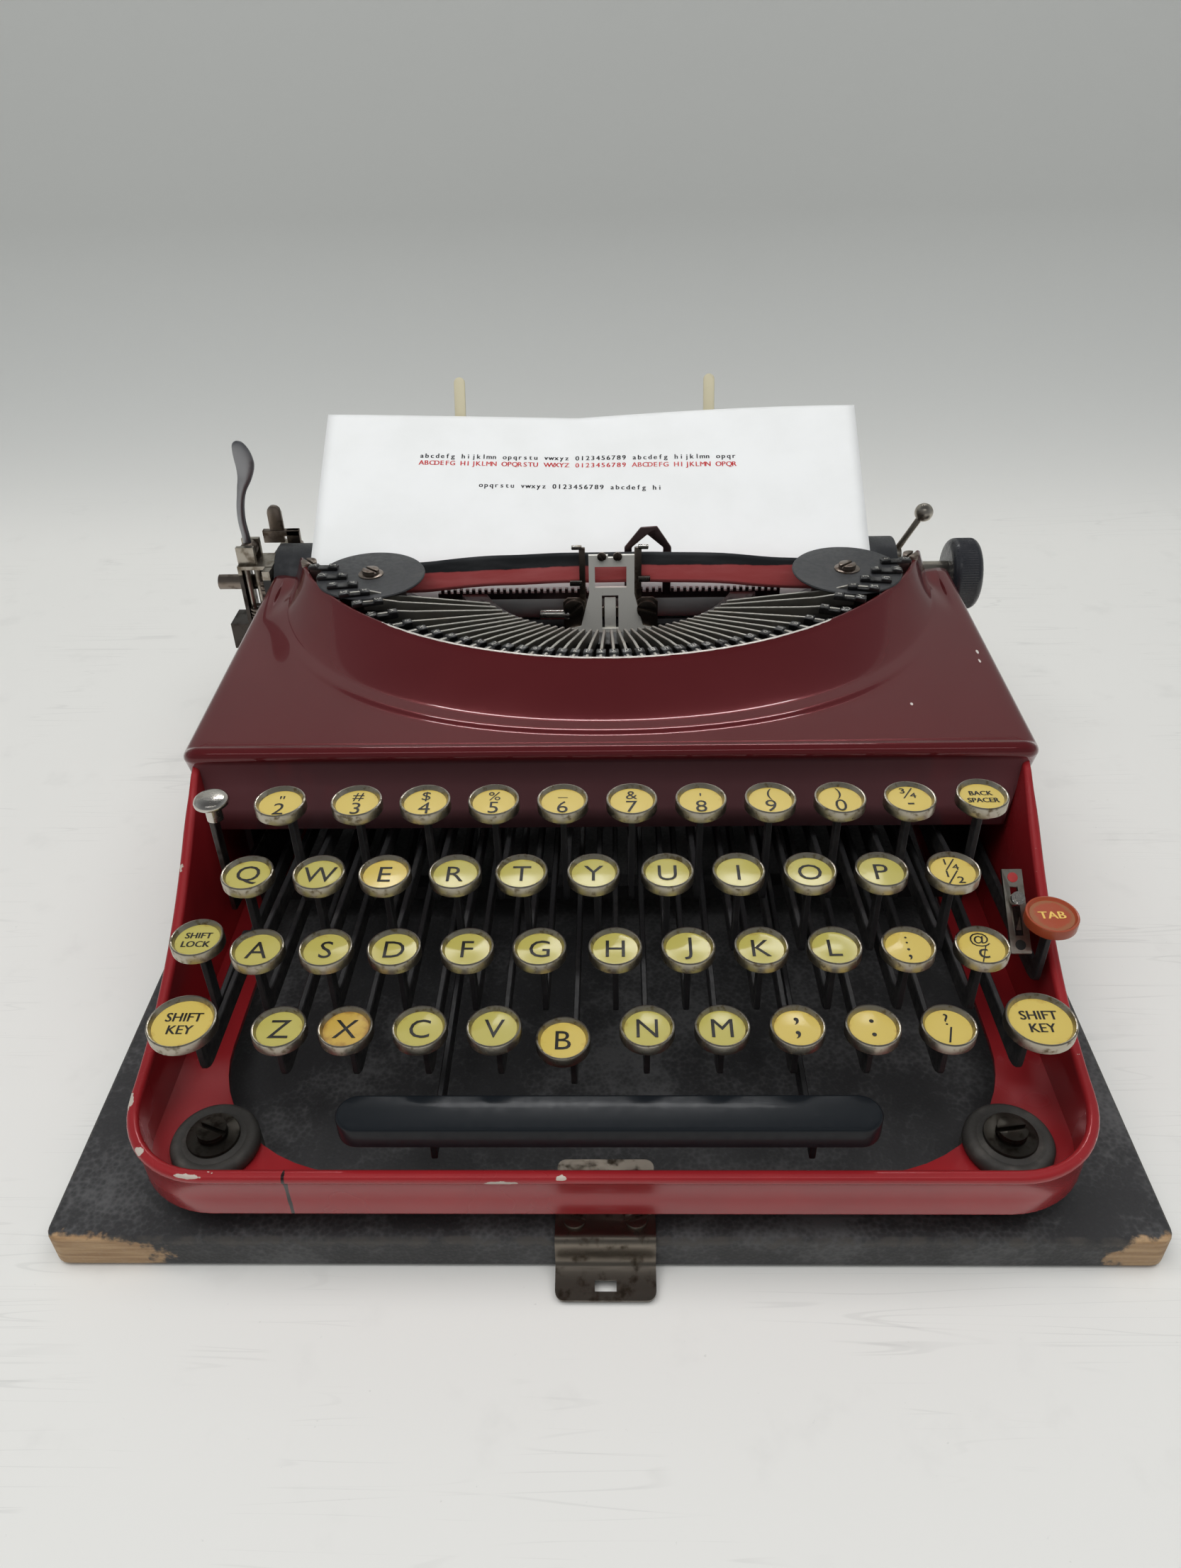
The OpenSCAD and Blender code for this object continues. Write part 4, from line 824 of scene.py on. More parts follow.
class LetterCase:
    """Flat letter shapes, one for each string, made together so that the scene is evaluated once."""

    CAP = 0.69

    def __init__(self, strings: Iterable[str]) -> None:
        """Makes the shapes of all strings."""
        holders: dict[str, Object] = {}
        for text in sorted(set(strings)):
            curve = bpy.data.curves.new("legend", "FONT")
            curve.body = text
            curve.offset = 0.0
            curve.resolution_u = 3
            holders[text] = linked("legend", curve)
        graph = bpy.context.evaluated_depsgraph_get()
        self.meshes: dict[str, Mesh] = {}
        for text, holder in holders.items():
            self.meshes[text] = bpy.data.meshes.new_from_object(holder.evaluated_get(graph))
        for holder in holders.values():
            bpy.data.curves.remove(holder.data)

    def shape(self, text: str, height: float, centred: bool = True, squeeze: float = 1.0) -> BMesh:
        """One string as a flat shape.

        Args:
            text: The string.
            height: The height of a capital letter in millimetres.
            centred: Whether the middle is at the origin, rather than the middle of the base line.
            squeeze: How wide the letters are, as a share of their own width.

        Returns:
            The shape, which faces up.
        """
        shape = bmesh.new()
        shape.from_mesh(self.meshes[text])
        xs = [v.co.x for v in shape.verts]
        ys = [v.co.y for v in shape.verts]
        middle = (min(ys) + max(ys)) / 2 if centred else 0.0
        bmesh.ops.translate(shape, vec=(-(min(xs) + max(xs)) / 2, -middle, 0), verts=shape.verts)
        size = height / self.CAP
        bmesh.ops.scale(shape, vec=(size * squeeze, size, size), verts=shape.verts)
        return shape


def mirrored(half: Sequence[tuple[float, ...]]) -> list[tuple[float, ...]]:
    """A half outline from the middle to the right, with its left half before it."""
    return [(-p[0], *p[1:]) for p in reversed(half[1:])] + list(half)


@dataclass
class BaseBoard:
    """Leatherette-covered board of the carrying case, with its latch plate."""

    size: Place = (292.0, 294.0, 12.0)
    shift: float = 1.5
    corner: float = 4.0
    edge: float = 1.5
    latch_w: float = 26.0
    latch_x: float = -1.0
    latch_corner: float = 2.4
    latch_thick: float = 1.2
    slot_half: float = 2.8

    # Depth and height of the latch plate's middle line
    LATCH_BENDS = ((-123.5, 12.05), (-134, 12.05), (-144.4, 12.05), (-146.8, 11.6), (-147.3, 9.6),
                   (-147.3, 6.4), (-148.4, 4.0), (-151.4, 2.3), (-157.0, 0.4))

    def build(self) -> None:
        """Builds the board and the latch."""
        wide, deep, high = self.size
        piece = Piece("board", "base", "leatherette", [Leatherette()], ["base_board"])
        shape = block((-wide / 2 - self.shift, wide / 2 - self.shift), (-deep / 2, deep / 2), (0, high))
        soften(shape, [e for e in shape.edges if slant(e) > 1], self.corner, 5)
        soften(shape, [e for e in shape.edges if slant(e) < 0.1 and e.calc_face_angle(0) > 1], self.edge, 4)

        def rubbed(at: Vector) -> float:
            """Wear along the rounded edges."""
            side = max(abs(at.x + self.shift) - wide / 2, abs(at.y) - deep / 2)
            return ease(-3.2, -0.4, side) * ease(6.0, 10.5, at.z)

        piece.add(shape, 0, None, rubbed)
        piece.finish(60)
        self.latch()

    def latch(self) -> None:
        """Builds the latch plate, bent over the board's front edge."""
        piece = Piece("latch_dressed", "base", "nickel", [LATCH_METAL], ["latch_plate"])
        path = flowing([(0, y, z) for y, z in self.LATCH_BENDS], 5)
        run = [0.0]
        for a, b in zip(path, path[1:]):
            run.append(run[-1] + (b - a).length)
        long, half, c, s = run[-1], self.latch_w / 2, self.latch_corner, self.slot_half
        middles = ((half - c, c), (half - c, long - c), (c - half, long - c), (c - half, c))
        turns = [quarter_turn(middle, c, 90 * i - 90, 6) for i, middle in enumerate(middles)]
        outline = [point[:2] for turn in turns for point in turn]
        slot = [(-s, long - 5.0), (s, long - 5.0), (s, long - 2.2), (-s, long - 2.2)]
        shape = pierced(outline, [slot], self.latch_thick)
        for v in run[1:-1]:
            everything = [*shape.verts, *shape.edges, *shape.faces]
            bmesh.ops.bisect_plane(shape, geom=everything, plane_co=(0, v, 0), plane_no=(0, 1, 0))
        for vert in shape.verts:
            i = next((i for i, v in enumerate(run[1:-1]) if vert.co.y <= v + 1e-6), len(run) - 2)
            along = (path[i + 1] - path[i]).normalized()
            at = path[i] + along * (vert.co.y - run[i]) + Vector((0, along.z, -along.y)) * vert.co.z
            vert.co = (vert.co.x + self.latch_x, at.y, at.z)
        piece.add(shape)
        piece.finish(30)


@dataclass
class LowerFrame:
    """Pressed crimson frame: wall with a rolled rim, floor with its opening, and the rubber feet."""

    half: float = 125.0
    front: float = -146.0
    rear: float = 138.0
    ridge: float = -37.0
    cover_rear: float = 88.0
    corner: float = 24.0
    rear_corner: float = 12.0
    wall: float = 2.2
    bottom: float = 21.0
    floor: float = 23.0
    rim: float = 37.5
    rise: float = 48.0
    power: float = 2.2
    side_top: float = 80.0
    rear_top: float = 46.0
    bead: float = 1.0
    bead_tall: float = 3.4
    floor_corners: Pair = (21.8, 9.8)
    opening: Place = (110.0, -135.0, 58.0)
    opening_corners: Pair = (44.0, 20.0)
    feet: tuple[Point, ...] = ((-105, -126.5), (105, -126.5), (-98, 122), (98, 122))

    # Radius and height of a foot's outside, from the board up
    FOOT = ((2.2, 12), (11, 12), (11.8, 12.8), (11.8, 20.2), (11.3, 20.9), (8, 21), (8, 23), (11.4, 23),
            (11.8, 23.6), (11.7, 25.4), (11.1, 26.5), (10.2, 27.0), (9.2, 26.9), (8.4, 26.4), (7.6, 26.6),
            (7.0, 27.0), (2.2, 27.0))

    def rim_at(self, y: float) -> float:
        """Height of the rim at a depth."""
        if y < self.ridge:
            share = max(y - self.front, 0.0) / (self.ridge - self.front)
            return self.rim + self.rise * share ** self.power
        top = mix(self.rim + self.rise, self.side_top, ease(self.ridge, self.ridge + 14, y))
        return top if y <= self.cover_rear else self.rear_top

    @staticmethod
    def plan(half: float, front: float, rear: float, front_r: float, rear_r: float,
             steps: int) -> list[tuple[float, ...]]:
        """Outline seen from above, from the front's middle round to the rear's middle.

        Args:
            half: Half the width.
            front: The front's y.
            rear: The rear's y.
            front_r: Radius of the front corners.
            rear_r: Radius of the rear corners.
            steps: The number of steps along the side.

        Returns:
            The place and the outward direction of each point of the right half.
        """
        line = [(x * (half - front_r) / 8, front, 0.0, -1.0) for x in range(8)]
        start, end = front + front_r, rear - rear_r
        line += quarter_turn((half - front_r, start), front_r, -90, 12)
        line += [(half, mix(start, end, i / steps), 1.0, 0.0) for i in range(1, steps)]
        line += quarter_turn((half - rear_r, end), rear_r, 0, 8)
        line += [((half - rear_r) * (1 - i / 6), rear, 0.0, 1.0) for i in range(1, 7)]
        return line

    def wall_shape(self) -> BMesh:
        """The wall with its rolled rim, swept round the outline."""
        half = self.plan(self.half, self.front, self.rear, self.corner, self.rear_corner, 60)
        step = next(i for i, p in enumerate(half) if p[1] > self.cover_rear and p[3] == 0.0)
        half.insert(step, (self.half, self.cover_rear, 1.0, 0.0))
        half.insert(step + 1, (self.half, self.cover_rear + 0.4, 1.0, 0.0))
        loop = half + [(-p[0], p[1], -p[2], p[3]) for p in reversed(half[:-1])]

        def place(row: int, column: int) -> Point:
            """One point of the wall's section at a place on the outline."""
            x, y, out_x, out_y = loop[column]
            top = self.rim_at(y)
            roll = self.bead * (1 - ease(self.ridge - 14, self.ridge - 2, y))
            low = top - self.bead_tall
            inside = -self.wall
            section = [(inside, self.floor), (inside, mix(self.floor, top, 0.5)), (inside, top - 1.5),
                       (inside + 0.15, top - 0.7), (inside * 0.7, top - 0.15), (-0.9, top),
                       (-0.2 + roll * 0.3, top - 0.1), (roll * 0.75 - 0.05, top - 0.5), (roll, top - 1.2),
                       (roll, top - 1.9), (roll * 0.7, top - 2.6), (roll * 0.2, low + 0.3), (0, low),
                       (0, mix(self.bottom, low, 0.5)), (0, self.bottom + 0.9), (-0.3, self.bottom + 0.2),
                       (-1.0, self.bottom), (inside, self.bottom), (inside, self.floor)]
            offset, height = section[row]
            return x + out_x * offset, y + out_y * offset, height

        return bent_grid(19, len(loop), place)

    def floor_shape(self) -> BMesh:
        """The floor between the wall and the opening."""
        inside = self.half - self.wall + 0.1
        front, rear = self.front + self.wall - 0.1, self.rear - self.wall + 0.1
        outer = self.plan(inside, front, rear, *self.floor_corners, 24)
        inner = self.plan(*self.opening, *self.opening_corners, 24)
        loops = [line + [(-p[0], *p[1:]) for p in reversed(line[:-1])] for line in (outer, inner)]
        sections = ((0, self.floor), (1, self.floor - 0.3), (1, self.bottom + 0.1), (0, self.bottom + 0.1),
                    (0, self.floor))

        def place(row: int, column: int) -> Point:
            """One point of the floor."""
            which, height = sections[row]
            x, y = loops[which][column][:2]
            return x, y, height

        return bent_grid(5, len(loops[0]), place)

    def build(self) -> None:
        """Builds the frame and the feet."""
        piece = Piece("lower_frame", "base", "crimson_enamel", [CRIMSON], ["main_frame"])

        def rubbed(at: Vector) -> float:
            """Wear along the rolled rim."""
            return ease(-3.4, -0.2, at.z - self.rim_at(at.y)) if at.y < self.ridge else 0.0

        piece.add(self.wall_shape(), 0, None, rubbed)
        piece.add(self.floor_shape())
        piece.finish(50)
        feet = Piece("grommet_feet", "base", "black_rubber", [RUBBER], ["rubber_feet"])
        for x, y in self.feet:
            feet.add(lathe(self.FOOT, 48), 0, Matrix.Translation((x, y, 0)))
        feet.finish()


@dataclass
class TopCover:
    """Maroon cover: deck with the ridge bead, front face, skirts and the flared collar with its horns."""

    half: float = 128.6
    spread: float = 1.8
    seat: float = 126.2
    ridge: float = -37.0
    rear: float = 88.0
    deck: float = 88.5
    lip: float = 97.7
    lip_y: float = 132.0
    lip_r: float = 128.0
    foot_y: float = 96.8
    foot_r: float = 124.3
    bulge: float = 6.5
    corner: float = 6.0
    face: float = 27.5
    skirt: float = 13.0
    sheet: float = 0.9
    hollow_w: float = 3.4
    hollow_deep: float = 1.6
    lean: float = 2.4
    horn_drop: float = 2.0
    foot_step: float = 0.6
    flare_end: float = 0.765

    # Shares of the way down the flare at which it has a row of points, and the rows of points below it
    FLARE = (0.05, 0.12, 0.2, 0.3, 0.4, 0.5, 0.58, 0.64, 0.68, 0.71, 0.735, 0.76, 0.79, 0.84, 0.89, 0.92,
             0.94, 0.96, 0.98, 1.0)
    DECK_ROWS = 12
    SKIRT_ROWS = 3
    # How far out from the lip and how high each point of its rolled edge is
    LIP = ((-1.4, -11.0), (-1.4, -1.3), (-1.3, -0.5), (-0.9, -0.08), (-0.35, 0.0), (0.15, -0.25),
           (0.45, -0.7))
    # Sections over the edge: the ridge bead in front, and the plain turn at the sides
    BEAD = ((-6.0, 0.0), (-5.0, -0.2), (-4.3, 0.15), (-3.5, 1.0), (-2.5, 1.7), (-1.2, 1.85), (0.1, 1.25),
            (0.95, 0.1), (1.1, -1.3), (0.6, -2.6), (0.0, -3.4))
    TURN = ((-5.2, 0.0), (-4.4, 0.0), (-3.6, -0.04), (-2.8, -0.14), (-2.0, -0.36), (-1.3, -0.75),
            (-0.75, -1.25), (-0.35, -1.9), (-0.1, -2.6), (0.0, -3.2), (0.0, -3.8))
    # Shares of the way round the collar at which the front edge ends and the side edge starts
    CORNER = (0.47, 0.53)

    def stations(self) -> list[tuple[float, ...]]:
        """Share of the way round the collar, edge point and outward direction of each column."""
        c = self.corner
        side = self.half - c
        first, last = self.CORNER
        line = [(first * i / 34, side * i / 34, self.ridge, 0.0, -1.0) for i in range(34)]
        turn = quarter_turn((side, self.ridge + c), c, -90, 8)
        line += [(mix(first, last, i / 8), *point) for i, point in enumerate(turn)]
        for i in range(1, 37):
            line.append((last + first * i / 36, self.half + self.spread * i / 36,
                         mix(self.ridge + c, self.rear, i / 36), 1.0, 0.0))
        return [(-p[0], -p[1], p[2], -p[3], p[4]) for p in reversed(line[1:])] + line

    def edge(self, front: float) -> list[Pair]:
        """Section over the edge, from the deck down: the ridge bead in front, a plain turn at the sides."""
        return [(mix(t[0], b[0], front), mix(t[1], b[1], front)) for t, b in zip(self.TURN, self.BEAD)]

    def scallop(self, x: float, y: float) -> float:
        """Depth of the hollow beside each horn."""
        fade = ease(50, 78, y) * (1 - 0.6 * ease(76, self.rear, y))
        middle = mix(122.2, 120.4, ease(70, self.rear, y))
        return self.hollow_deep * math.exp(-((abs(x) - middle) / self.hollow_w) ** 2) * fade

    def pull(self, y: float) -> float:
        """How far each horn leans in from the lip's circle."""
        return self.lean * ease(60, self.rear, y)

    def shape(self) -> BMesh:
        """The swept sheet."""
        columns = self.stations()
        lip_angle = math.acos((self.lip_y - self.rear) / self.lip_r)
        foot_angle = math.acos((self.foot_y - self.rear) / self.foot_r)
        brow, brow_drop = self.LIP[-1]

        def place(row: int, column: int) -> Point:
            """One point of the cover."""
            share, edge_x, edge_y, out_x, out_y = columns[column]
            top = self.lip - self.horn_drop * ease(0.9, 1.0, abs(share))
            a, b = share * lip_angle, share * foot_angle
            radial = (sin(a), -cos(a))
            lip_y = self.lip_y - self.lip_r * cos(a)
            lip = (self.lip_r * sin(a) - math.copysign(self.pull(lip_y), a), lip_y)
            reach = self.foot_r + self.bulge * sin(2 * b) ** 2
            foot = (reach * sin(b), self.foot_y - reach * cos(b))
            if row < len(self.LIP):
                out, drop = self.LIP[row]
                return lip[0] + radial[0] * out, lip[1] + radial[1] * out, top + drop
            row -= len(self.LIP)
            outer = (lip[0] + radial[0] * brow, lip[1] + radial[1] * brow)
            if row < len(self.FLARE):
                w = self.FLARE[row]
                x, y = mix(outer[0], foot[0], w), mix(outer[1], foot[1], w)
                step = self.foot_step * (1 - ease(0.91, 1.0, w)) * (1 - ease(0.42, 0.66, abs(share)))
                end = self.flare_end - 0.3 * ease(0.8, 1.0, abs(share))
                z = self.deck + step + (top + brow_drop - self.deck - step) * max(1 - w / end, 0.0) ** 1.2
                return x, y, z - self.scallop(x, y) * ease(0.15, 0.55, w)
            row -= len(self.FLARE)
            section = self.edge(out_y * out_y if out_y < 0 else 0.0)
            inner = (edge_x + out_x * section[0][0], edge_y + out_y * section[0][0])
            if abs(foot[0]) > abs(inner[0]) and out_y > -0.5:
                inner = (math.copysign(abs(foot[0]) + 0.4, inner[0]), inner[1])
            if row < self.DECK_ROWS:
                w = (row + 1) / (self.DECK_ROWS + 1)
                x, y = mix(foot[0], inner[0], w), mix(foot[1], inner[1], w)
                return x, y, self.deck - self.scallop(x, y) * (1 - ease(0.4, 1.0, w))
            row -= self.DECK_ROWS
            if row < len(section):
                out, drop = section[row]
                x, y = edge_x + out_x * out, edge_y + out_y * out
                if abs(inner[0]) > abs(edge_x + out_x * section[0][0]):
                    x = math.copysign(max(abs(x), abs(inner[0]) + 0.02 * row), x)
                return x, y, self.deck + drop
            row -= len(section)
            low = self.face if out_y < -0.98 else self.skirt
            w = (row + 1) / self.SKIRT_ROWS
            taper = mix(1.0, self.seat / max(self.half, abs(edge_x)), w)
            return edge_x * taper, edge_y, self.deck - mix(3.9, low, w)

        rows = len(self.LIP) + len(self.FLARE) + self.DECK_ROWS + len(self.BEAD) + self.SKIRT_ROWS
        return bent_grid(rows, len(columns), place)

    def build(self) -> None:
        """Builds the cover with its thickness."""
        piece = Piece("cover", "base", "maroon_enamel", [MAROON], ["top_cover"])

        def rubbed(at: Vector) -> float:
            """Wear along the front of the lip."""
            lip = math.hypot(abs(at.x) + self.pull(at.y), at.y - self.lip_y) - self.lip_r
            bright = ease(-1.5, -1.1, lip) * (1 - ease(-0.3, 0.2, lip)) * ease(93, 94, at.z)
            return bright * (1 - ease(62, 84, abs(at.x)))

        piece.add(self.shape(), 0, None, rubbed)
        made = piece.finish(48)
        wall = made.modifiers.new("sheet", "SOLIDIFY")
        wall.thickness = self.sheet * MM
        wall.offset = -1


class Top(Enum):
    """Card of a key, in the order that the keys' finishes have."""

    CREAM = "cream"
    PALE = "pale"
    BROWN = "brown"
    ORANGE = "orange"


@dataclass
class Keyboard:
    """Keys with their levers, the function keys, the space bar and the small controls beside them."""

    letters: LetterCase
    pitch: float = 19.05
    middles: tuple[float, ...] = (4.47, 4.89, 5.15, 4.64)
    first: Pair = (-117.0, 59.0)
    run: float = 17.7
    climb: float = 10.9
    diameter: float = 14.2
    height: float = 5.0
    tilt: float = 1.5
    band: float = 3.4
    thick: float = 1.6
    tall: float = 6.0
    shaft: Pair = (70.0, 36.0)
    hub: float = 5.0
    fronts: tuple[float, ...] = (43.0, 48.0, 53.0, 57.0)
    letter_tall: float = 6.0
    shift_x: Pair = (107.0, 110.0)
    shift_size: float = 18.0
    bail: Pair = (84.0, 36.0)
    lock_x: float = -109.7
    lock_pin: Pair = (-67.0, 42.0)
    back_x: float = 103.0
    tab_at: Place = (120.0, -85.5, 68.0)
    tab_front: float = 45.0
    space_half: float = 62.0
    space_deep: float = 5.5
    space_tall: float = 7.0
    space_at: Place = (0.0, -136.0, 42.0)
    dots_at: Place = (114.0, -76.4, 60.5)
    dots_tilt: float = 35.5
    dots_apart: float = 9.6
    raiser_x: float = -112.3
    raiser_pin: Pair = (-15.0, 48.0)
    raiser_knob: Place = (-110.8, -61.6, 0.0)

    # Finishes of the keys, and the indexes of the first ones
    FINISHES = (LEVER_BLACK, RING_NICKEL, BLACK_INK, GOLD_INK, CREAM, PALE, BROWN, ORANGE)
    LEVER, RING, INK, GOLD, FIRST_CARD = range(5)
    LETTERS = ("ZXCVBNM", "ASDFGHJKL", "QWERTYUIOP", "")
    FIGURES = (((",", ","), (".", "."), ("?", "/")), ((":", ";"), ("@", "¢")), (("¼", "½"),),
               (('"', "2"), ("#", "3"), ("$", "4"), ("%", "5"), ("_", "6"), ("&", "7"), ("'", "8"),
                ("(", "9"), (")", "0"), ("¾", "-")))
    WORDS = ("SHIFT", "KEY", "LOCK", "BACK", "SPACER", "TAB")
    # Keys with another card, a key that hangs down by some degrees, and tops that are bent to the right
    ODD = {"B": Top.CREAM, "X": Top.BROWN, "E": Top.CREAM}
    SAG = {"B": 1.2}
    BENT = {"Q": 0.8, "W": 1.2, "T": -1.1, "Y": -0.8, "A": 0.9, "D": -1.0, "F": -0.8, "G": -0.8, "Z": 0.9,
            "X": -1.0, "C": -1.0, "V": -1.0, "B": -2.5, "2": -2.3}
    # Radius and height of the type raiser's mushroom knob
    MUSHROOM = ((0, 84), (2.4, 84), (2.4, 88.8), (2.8, 89.0), (4.4, 89.1), (4.9, 89.5), (5.0, 90.1),
                (4.7, 90.9), (3.8, 91.6), (2.2, 91.95), (0, 92))

    @classmethod
    def strings(cls) -> set[str]:
        """Every string that a key shows."""
        marks = {mark for row in cls.FIGURES for pair in row for mark in pair}
        return marks | set("".join(cls.LETTERS)) | set(cls.WORDS)

    def lever(self, piece: Piece, x: float, y: float, z: float, low: float, turn: Matrix = STILL) -> None:
        """Adds a lever's bar, hub and stem.

        Args:
            piece: The piece that it belongs to.
            x: The middle of the bar.
            y: The stem's place.
            z: The stem's top.
            low: The height of the bar's front.
            turn: A placing applied after it is made.
        """
        sy, sz = self.shaft
        h = self.tall / 2
        outline = [(sy, sz - h), (y + 3, low - h), (y + 0.6, low - h + 0.7), (y - 1.6, low - h + 2.4),
                   (y - 2, low - h + 4), (y - 2, z), (y + 2, z), (y + 2, low + h + 2.4),
                   (y + 2.8, low + h + 0.7), (y + 5, low + h), (sy, sz + h)]
        left, right = x - self.thick / 2, x + self.thick / 2

        def rubbed(at: Vector) -> float:
            """Wear on both sides of the bar."""
            return ease(0.4, 0.75, abs(at.x - x)) * 0.55

        piece.add(plate(outline, self.thick, 0.25, 1), self.LEVER, turn @ from_side(left), rubbed)
        piece.add(rod((left, sy, sz), (right, sy, sz), self.hub, 28, 0.2), self.LEVER, turn)

    def top(self, piece: Piece, at: Point, legend: Legend, kind: Top,
            turn: Matrix = STILL, size: float = 0.0, squeeze: float = 1.0) -> None:
        """Adds a key's ring, card and legend.

        Args:
            piece: The piece that it belongs to.
            at: The middle of its top.
            legend: The string, letter height and offset along y of each line.
            kind: The card.
            turn: A placing applied after it is made.
            size: The ring's diameter, or 0 for a letter key's.
            squeeze: How wide the letters are.
        """
        r, h, b = (size or self.diameter) / 2, self.height, self.band
        place = turn @ Matrix.Translation(at) @ Matrix.Rotation(radians(self.tilt), 4, "X")
        moulded = kind is Top.ORANGE
        deep = 0.8 if moulded else 1.3
        ring = lathe([(0, -h), (r - 2.0, -h), (r - 1.7, -h + 0.3), (r - 1.7, -b - 0.1), (r - 0.3, -b),
                      (r, -b + 0.3), (r, -0.4), (r - 0.12, -0.12), (r - 0.4, 0.0), (r - 0.6, -0.06),
                      (r - 0.76, -0.3), (r - 1.25, -deep), (0, -deep)], 44)
        card = self.FIRST_CARD + list(Top).index(kind)
        piece.add(ring, card if moulded else self.RING, place)
        inner = r - 1.22
        face = lathe([(inner * (1 - i / 6), 0.08 - deep + 0.12 * ease(0, 1, i / 6)) for i in range(7)])
        back = place.inverted()
        piece.add(face, card, place, lambda p: ((back @ p).xy.length / inner) ** 3)
        for text, tall, offset in legend:
            for strike in (-0.09, 0.09) if len(text) > 1 else (0.0,):
                lift = Matrix.Translation((strike, offset, 0.24 - deep + 0.1 * strike))
                ink = self.letters.shape(text, tall, squeeze=squeeze)
                piece.add(ink, self.GOLD if moulded else self.INK, place @ lift)

    def key_x(self, row: int, index: int) -> float:
        """Middle of a key along its row."""
        return (index - self.middles[row]) * self.pitch

    def key(self, piece: Piece, row: int, index: int, legend: Legend, kind: Top,
            sag: float = 0.0, bent: float = 0.0) -> None:
        """Adds a whole key of a row.

        Args:
            piece: The piece that it belongs to.
            row: The row, from the front.
            index: The key's place in the row.
            legend: The lines of its legend.
            kind: The card.
            sag: How many degrees it hangs down.
            bent: How far its top is bent to the right.
        """
        x = self.key_x(row, index)
        y, z = self.first[0] + row * self.run, self.first[1] + row * self.climb
        pivot = Matrix.Translation((0, *self.shaft))
        turn = pivot @ Matrix.Rotation(radians(sag), 4, "X") @ pivot.inverted()
        self.lever(piece, x, y, z - 3, self.fronts[row], turn)
        self.top(piece, (x + bent, y, z), legend, kind, turn)

    def letter_keys(self) -> None:
        """Builds the letter keys, each on its own body."""
        for row, line in enumerate(self.LETTERS):
            for index, letter in enumerate(line):
                name = f"key_{letter.lower()}"
                piece = Piece(f"{name}_dressed", name, "key_steel", self.FINISHES, [name])
                kind = self.ODD.get(letter, Top.PALE)
                sag, bent = self.SAG.get(letter, 0.0), self.BENT.get(letter, 0.0)
                self.key(piece, row, index, [(letter, self.letter_tall, 0.0)], kind, sag, bent)
                piece.finish()

    def figure_keys(self) -> None:
        """Builds the number and punctuation keys."""
        piece = Piece("figure_keys_dressed", "figure_keys", "key_steel", self.FINISHES, ["figure_keys"])
        low = {",": -2.6, ".": -2.6, "_": -2.2, "-": -1.9}
        for row, pairs in enumerate(self.FIGURES):
            for i, (upper, lower) in enumerate(pairs):
                index = len(self.LETTERS[row]) + i
                small = 3.7 if upper not in "¼¾" else 4.4
                lines = [(upper, small, 2.7 if upper not in low else 1.8), (lower, 4.9, low.get(lower, -2.3))]
                if upper == lower:
                    lines = [(upper, 7.0, 2.2), (lower, 7.0, -2.2)]
                self.key(piece, row, index, lines, Top.CREAM, 0.0, self.BENT.get(lower, 0.0))
        piece.finish()

    def function_keys(self) -> None:
        """Builds the shift keys, the lock, the back spacer and the tabulator."""
        y, z = self.first[0] + 2, self.first[1]
        piece = Piece("shift_keys_dressed", "shift", "key_steel", self.FINISHES, ["shift_keys"])
        lever_x, top_x = self.shift_x
        lines = [("SHIFT", 2.9, 2.1), ("KEY", 2.9, -2.1)]
        for side in (-1, 1):
            x = side * lever_x
            self.lever(piece, x, y, z - 3, self.fronts[0])
            piece.add(block((x - 0.8, x + 0.8), (72, 87), (33, 39), 0.3), self.LEVER)
            self.top(piece, (side * top_x, y, z), lines, Top.CREAM, size=self.shift_size, squeeze=0.92)
        piece.add(rod((-108.6, *self.bail), (108.6, *self.bail), 2, 20, 0.3), self.LEVER)
        piece.finish()
        lock = Piece("shift_lock_dressed", "shift_lock", "key_steel", self.FINISHES, ["shift_lock"])
        lx = self.key_x(1, 0) - self.diameter - 2.1
        ly, lz = self.first[0] + self.run + 4, self.first[1] + self.climb
        py, pz = self.lock_pin
        bar = [(py, pz - 3), (ly - 2, pz - 3), (ly - 2, lz - 3), (ly + 2, lz - 3), (ly + 2, pz + 3),
               (py, pz + 3)]
        lock.add(plate(bar, self.thick, 0.25, 1), self.LEVER, from_side(self.lock_x))
        lock.add(rod((self.lock_x, py, pz), (-106.2, py, pz), 3, 24, 0.2), self.LEVER)
        lines = [("SHIFT", 2.1, 1.6), ("LOCK", 2.1, -1.6)]
        self.top(lock, (lx, ly, lz), lines, Top.PALE, squeeze=0.95)
        lock.finish()
        back = Piece("back_spacer_dressed", "back_spacer", "key_steel", self.FINISHES, ["back_spacer"])
        by, bz = self.first[0] + 3 * self.run + 1, self.first[1] + 3 * self.climb
        self.lever(back, self.back_x, by, bz - 3, self.fronts[3])
        lines = [("BACK", 1.9, 1.6), ("SPACER", 1.9, -1.5)]
        self.top(back, (self.back_x, by, bz), lines, Top.CREAM, squeeze=0.9)
        back.finish()
        tab = Piece("tab_key_dressed", "tab_key", "orange_gloss", self.FINISHES, ["tab_key"])
        x, y, z = self.tab_at
        self.lever(tab, x, y, z - 3, self.tab_front)
        self.top(tab, self.tab_at, [("TAB", 2.7, 0.0)], Top.ORANGE)
        tab.finish()

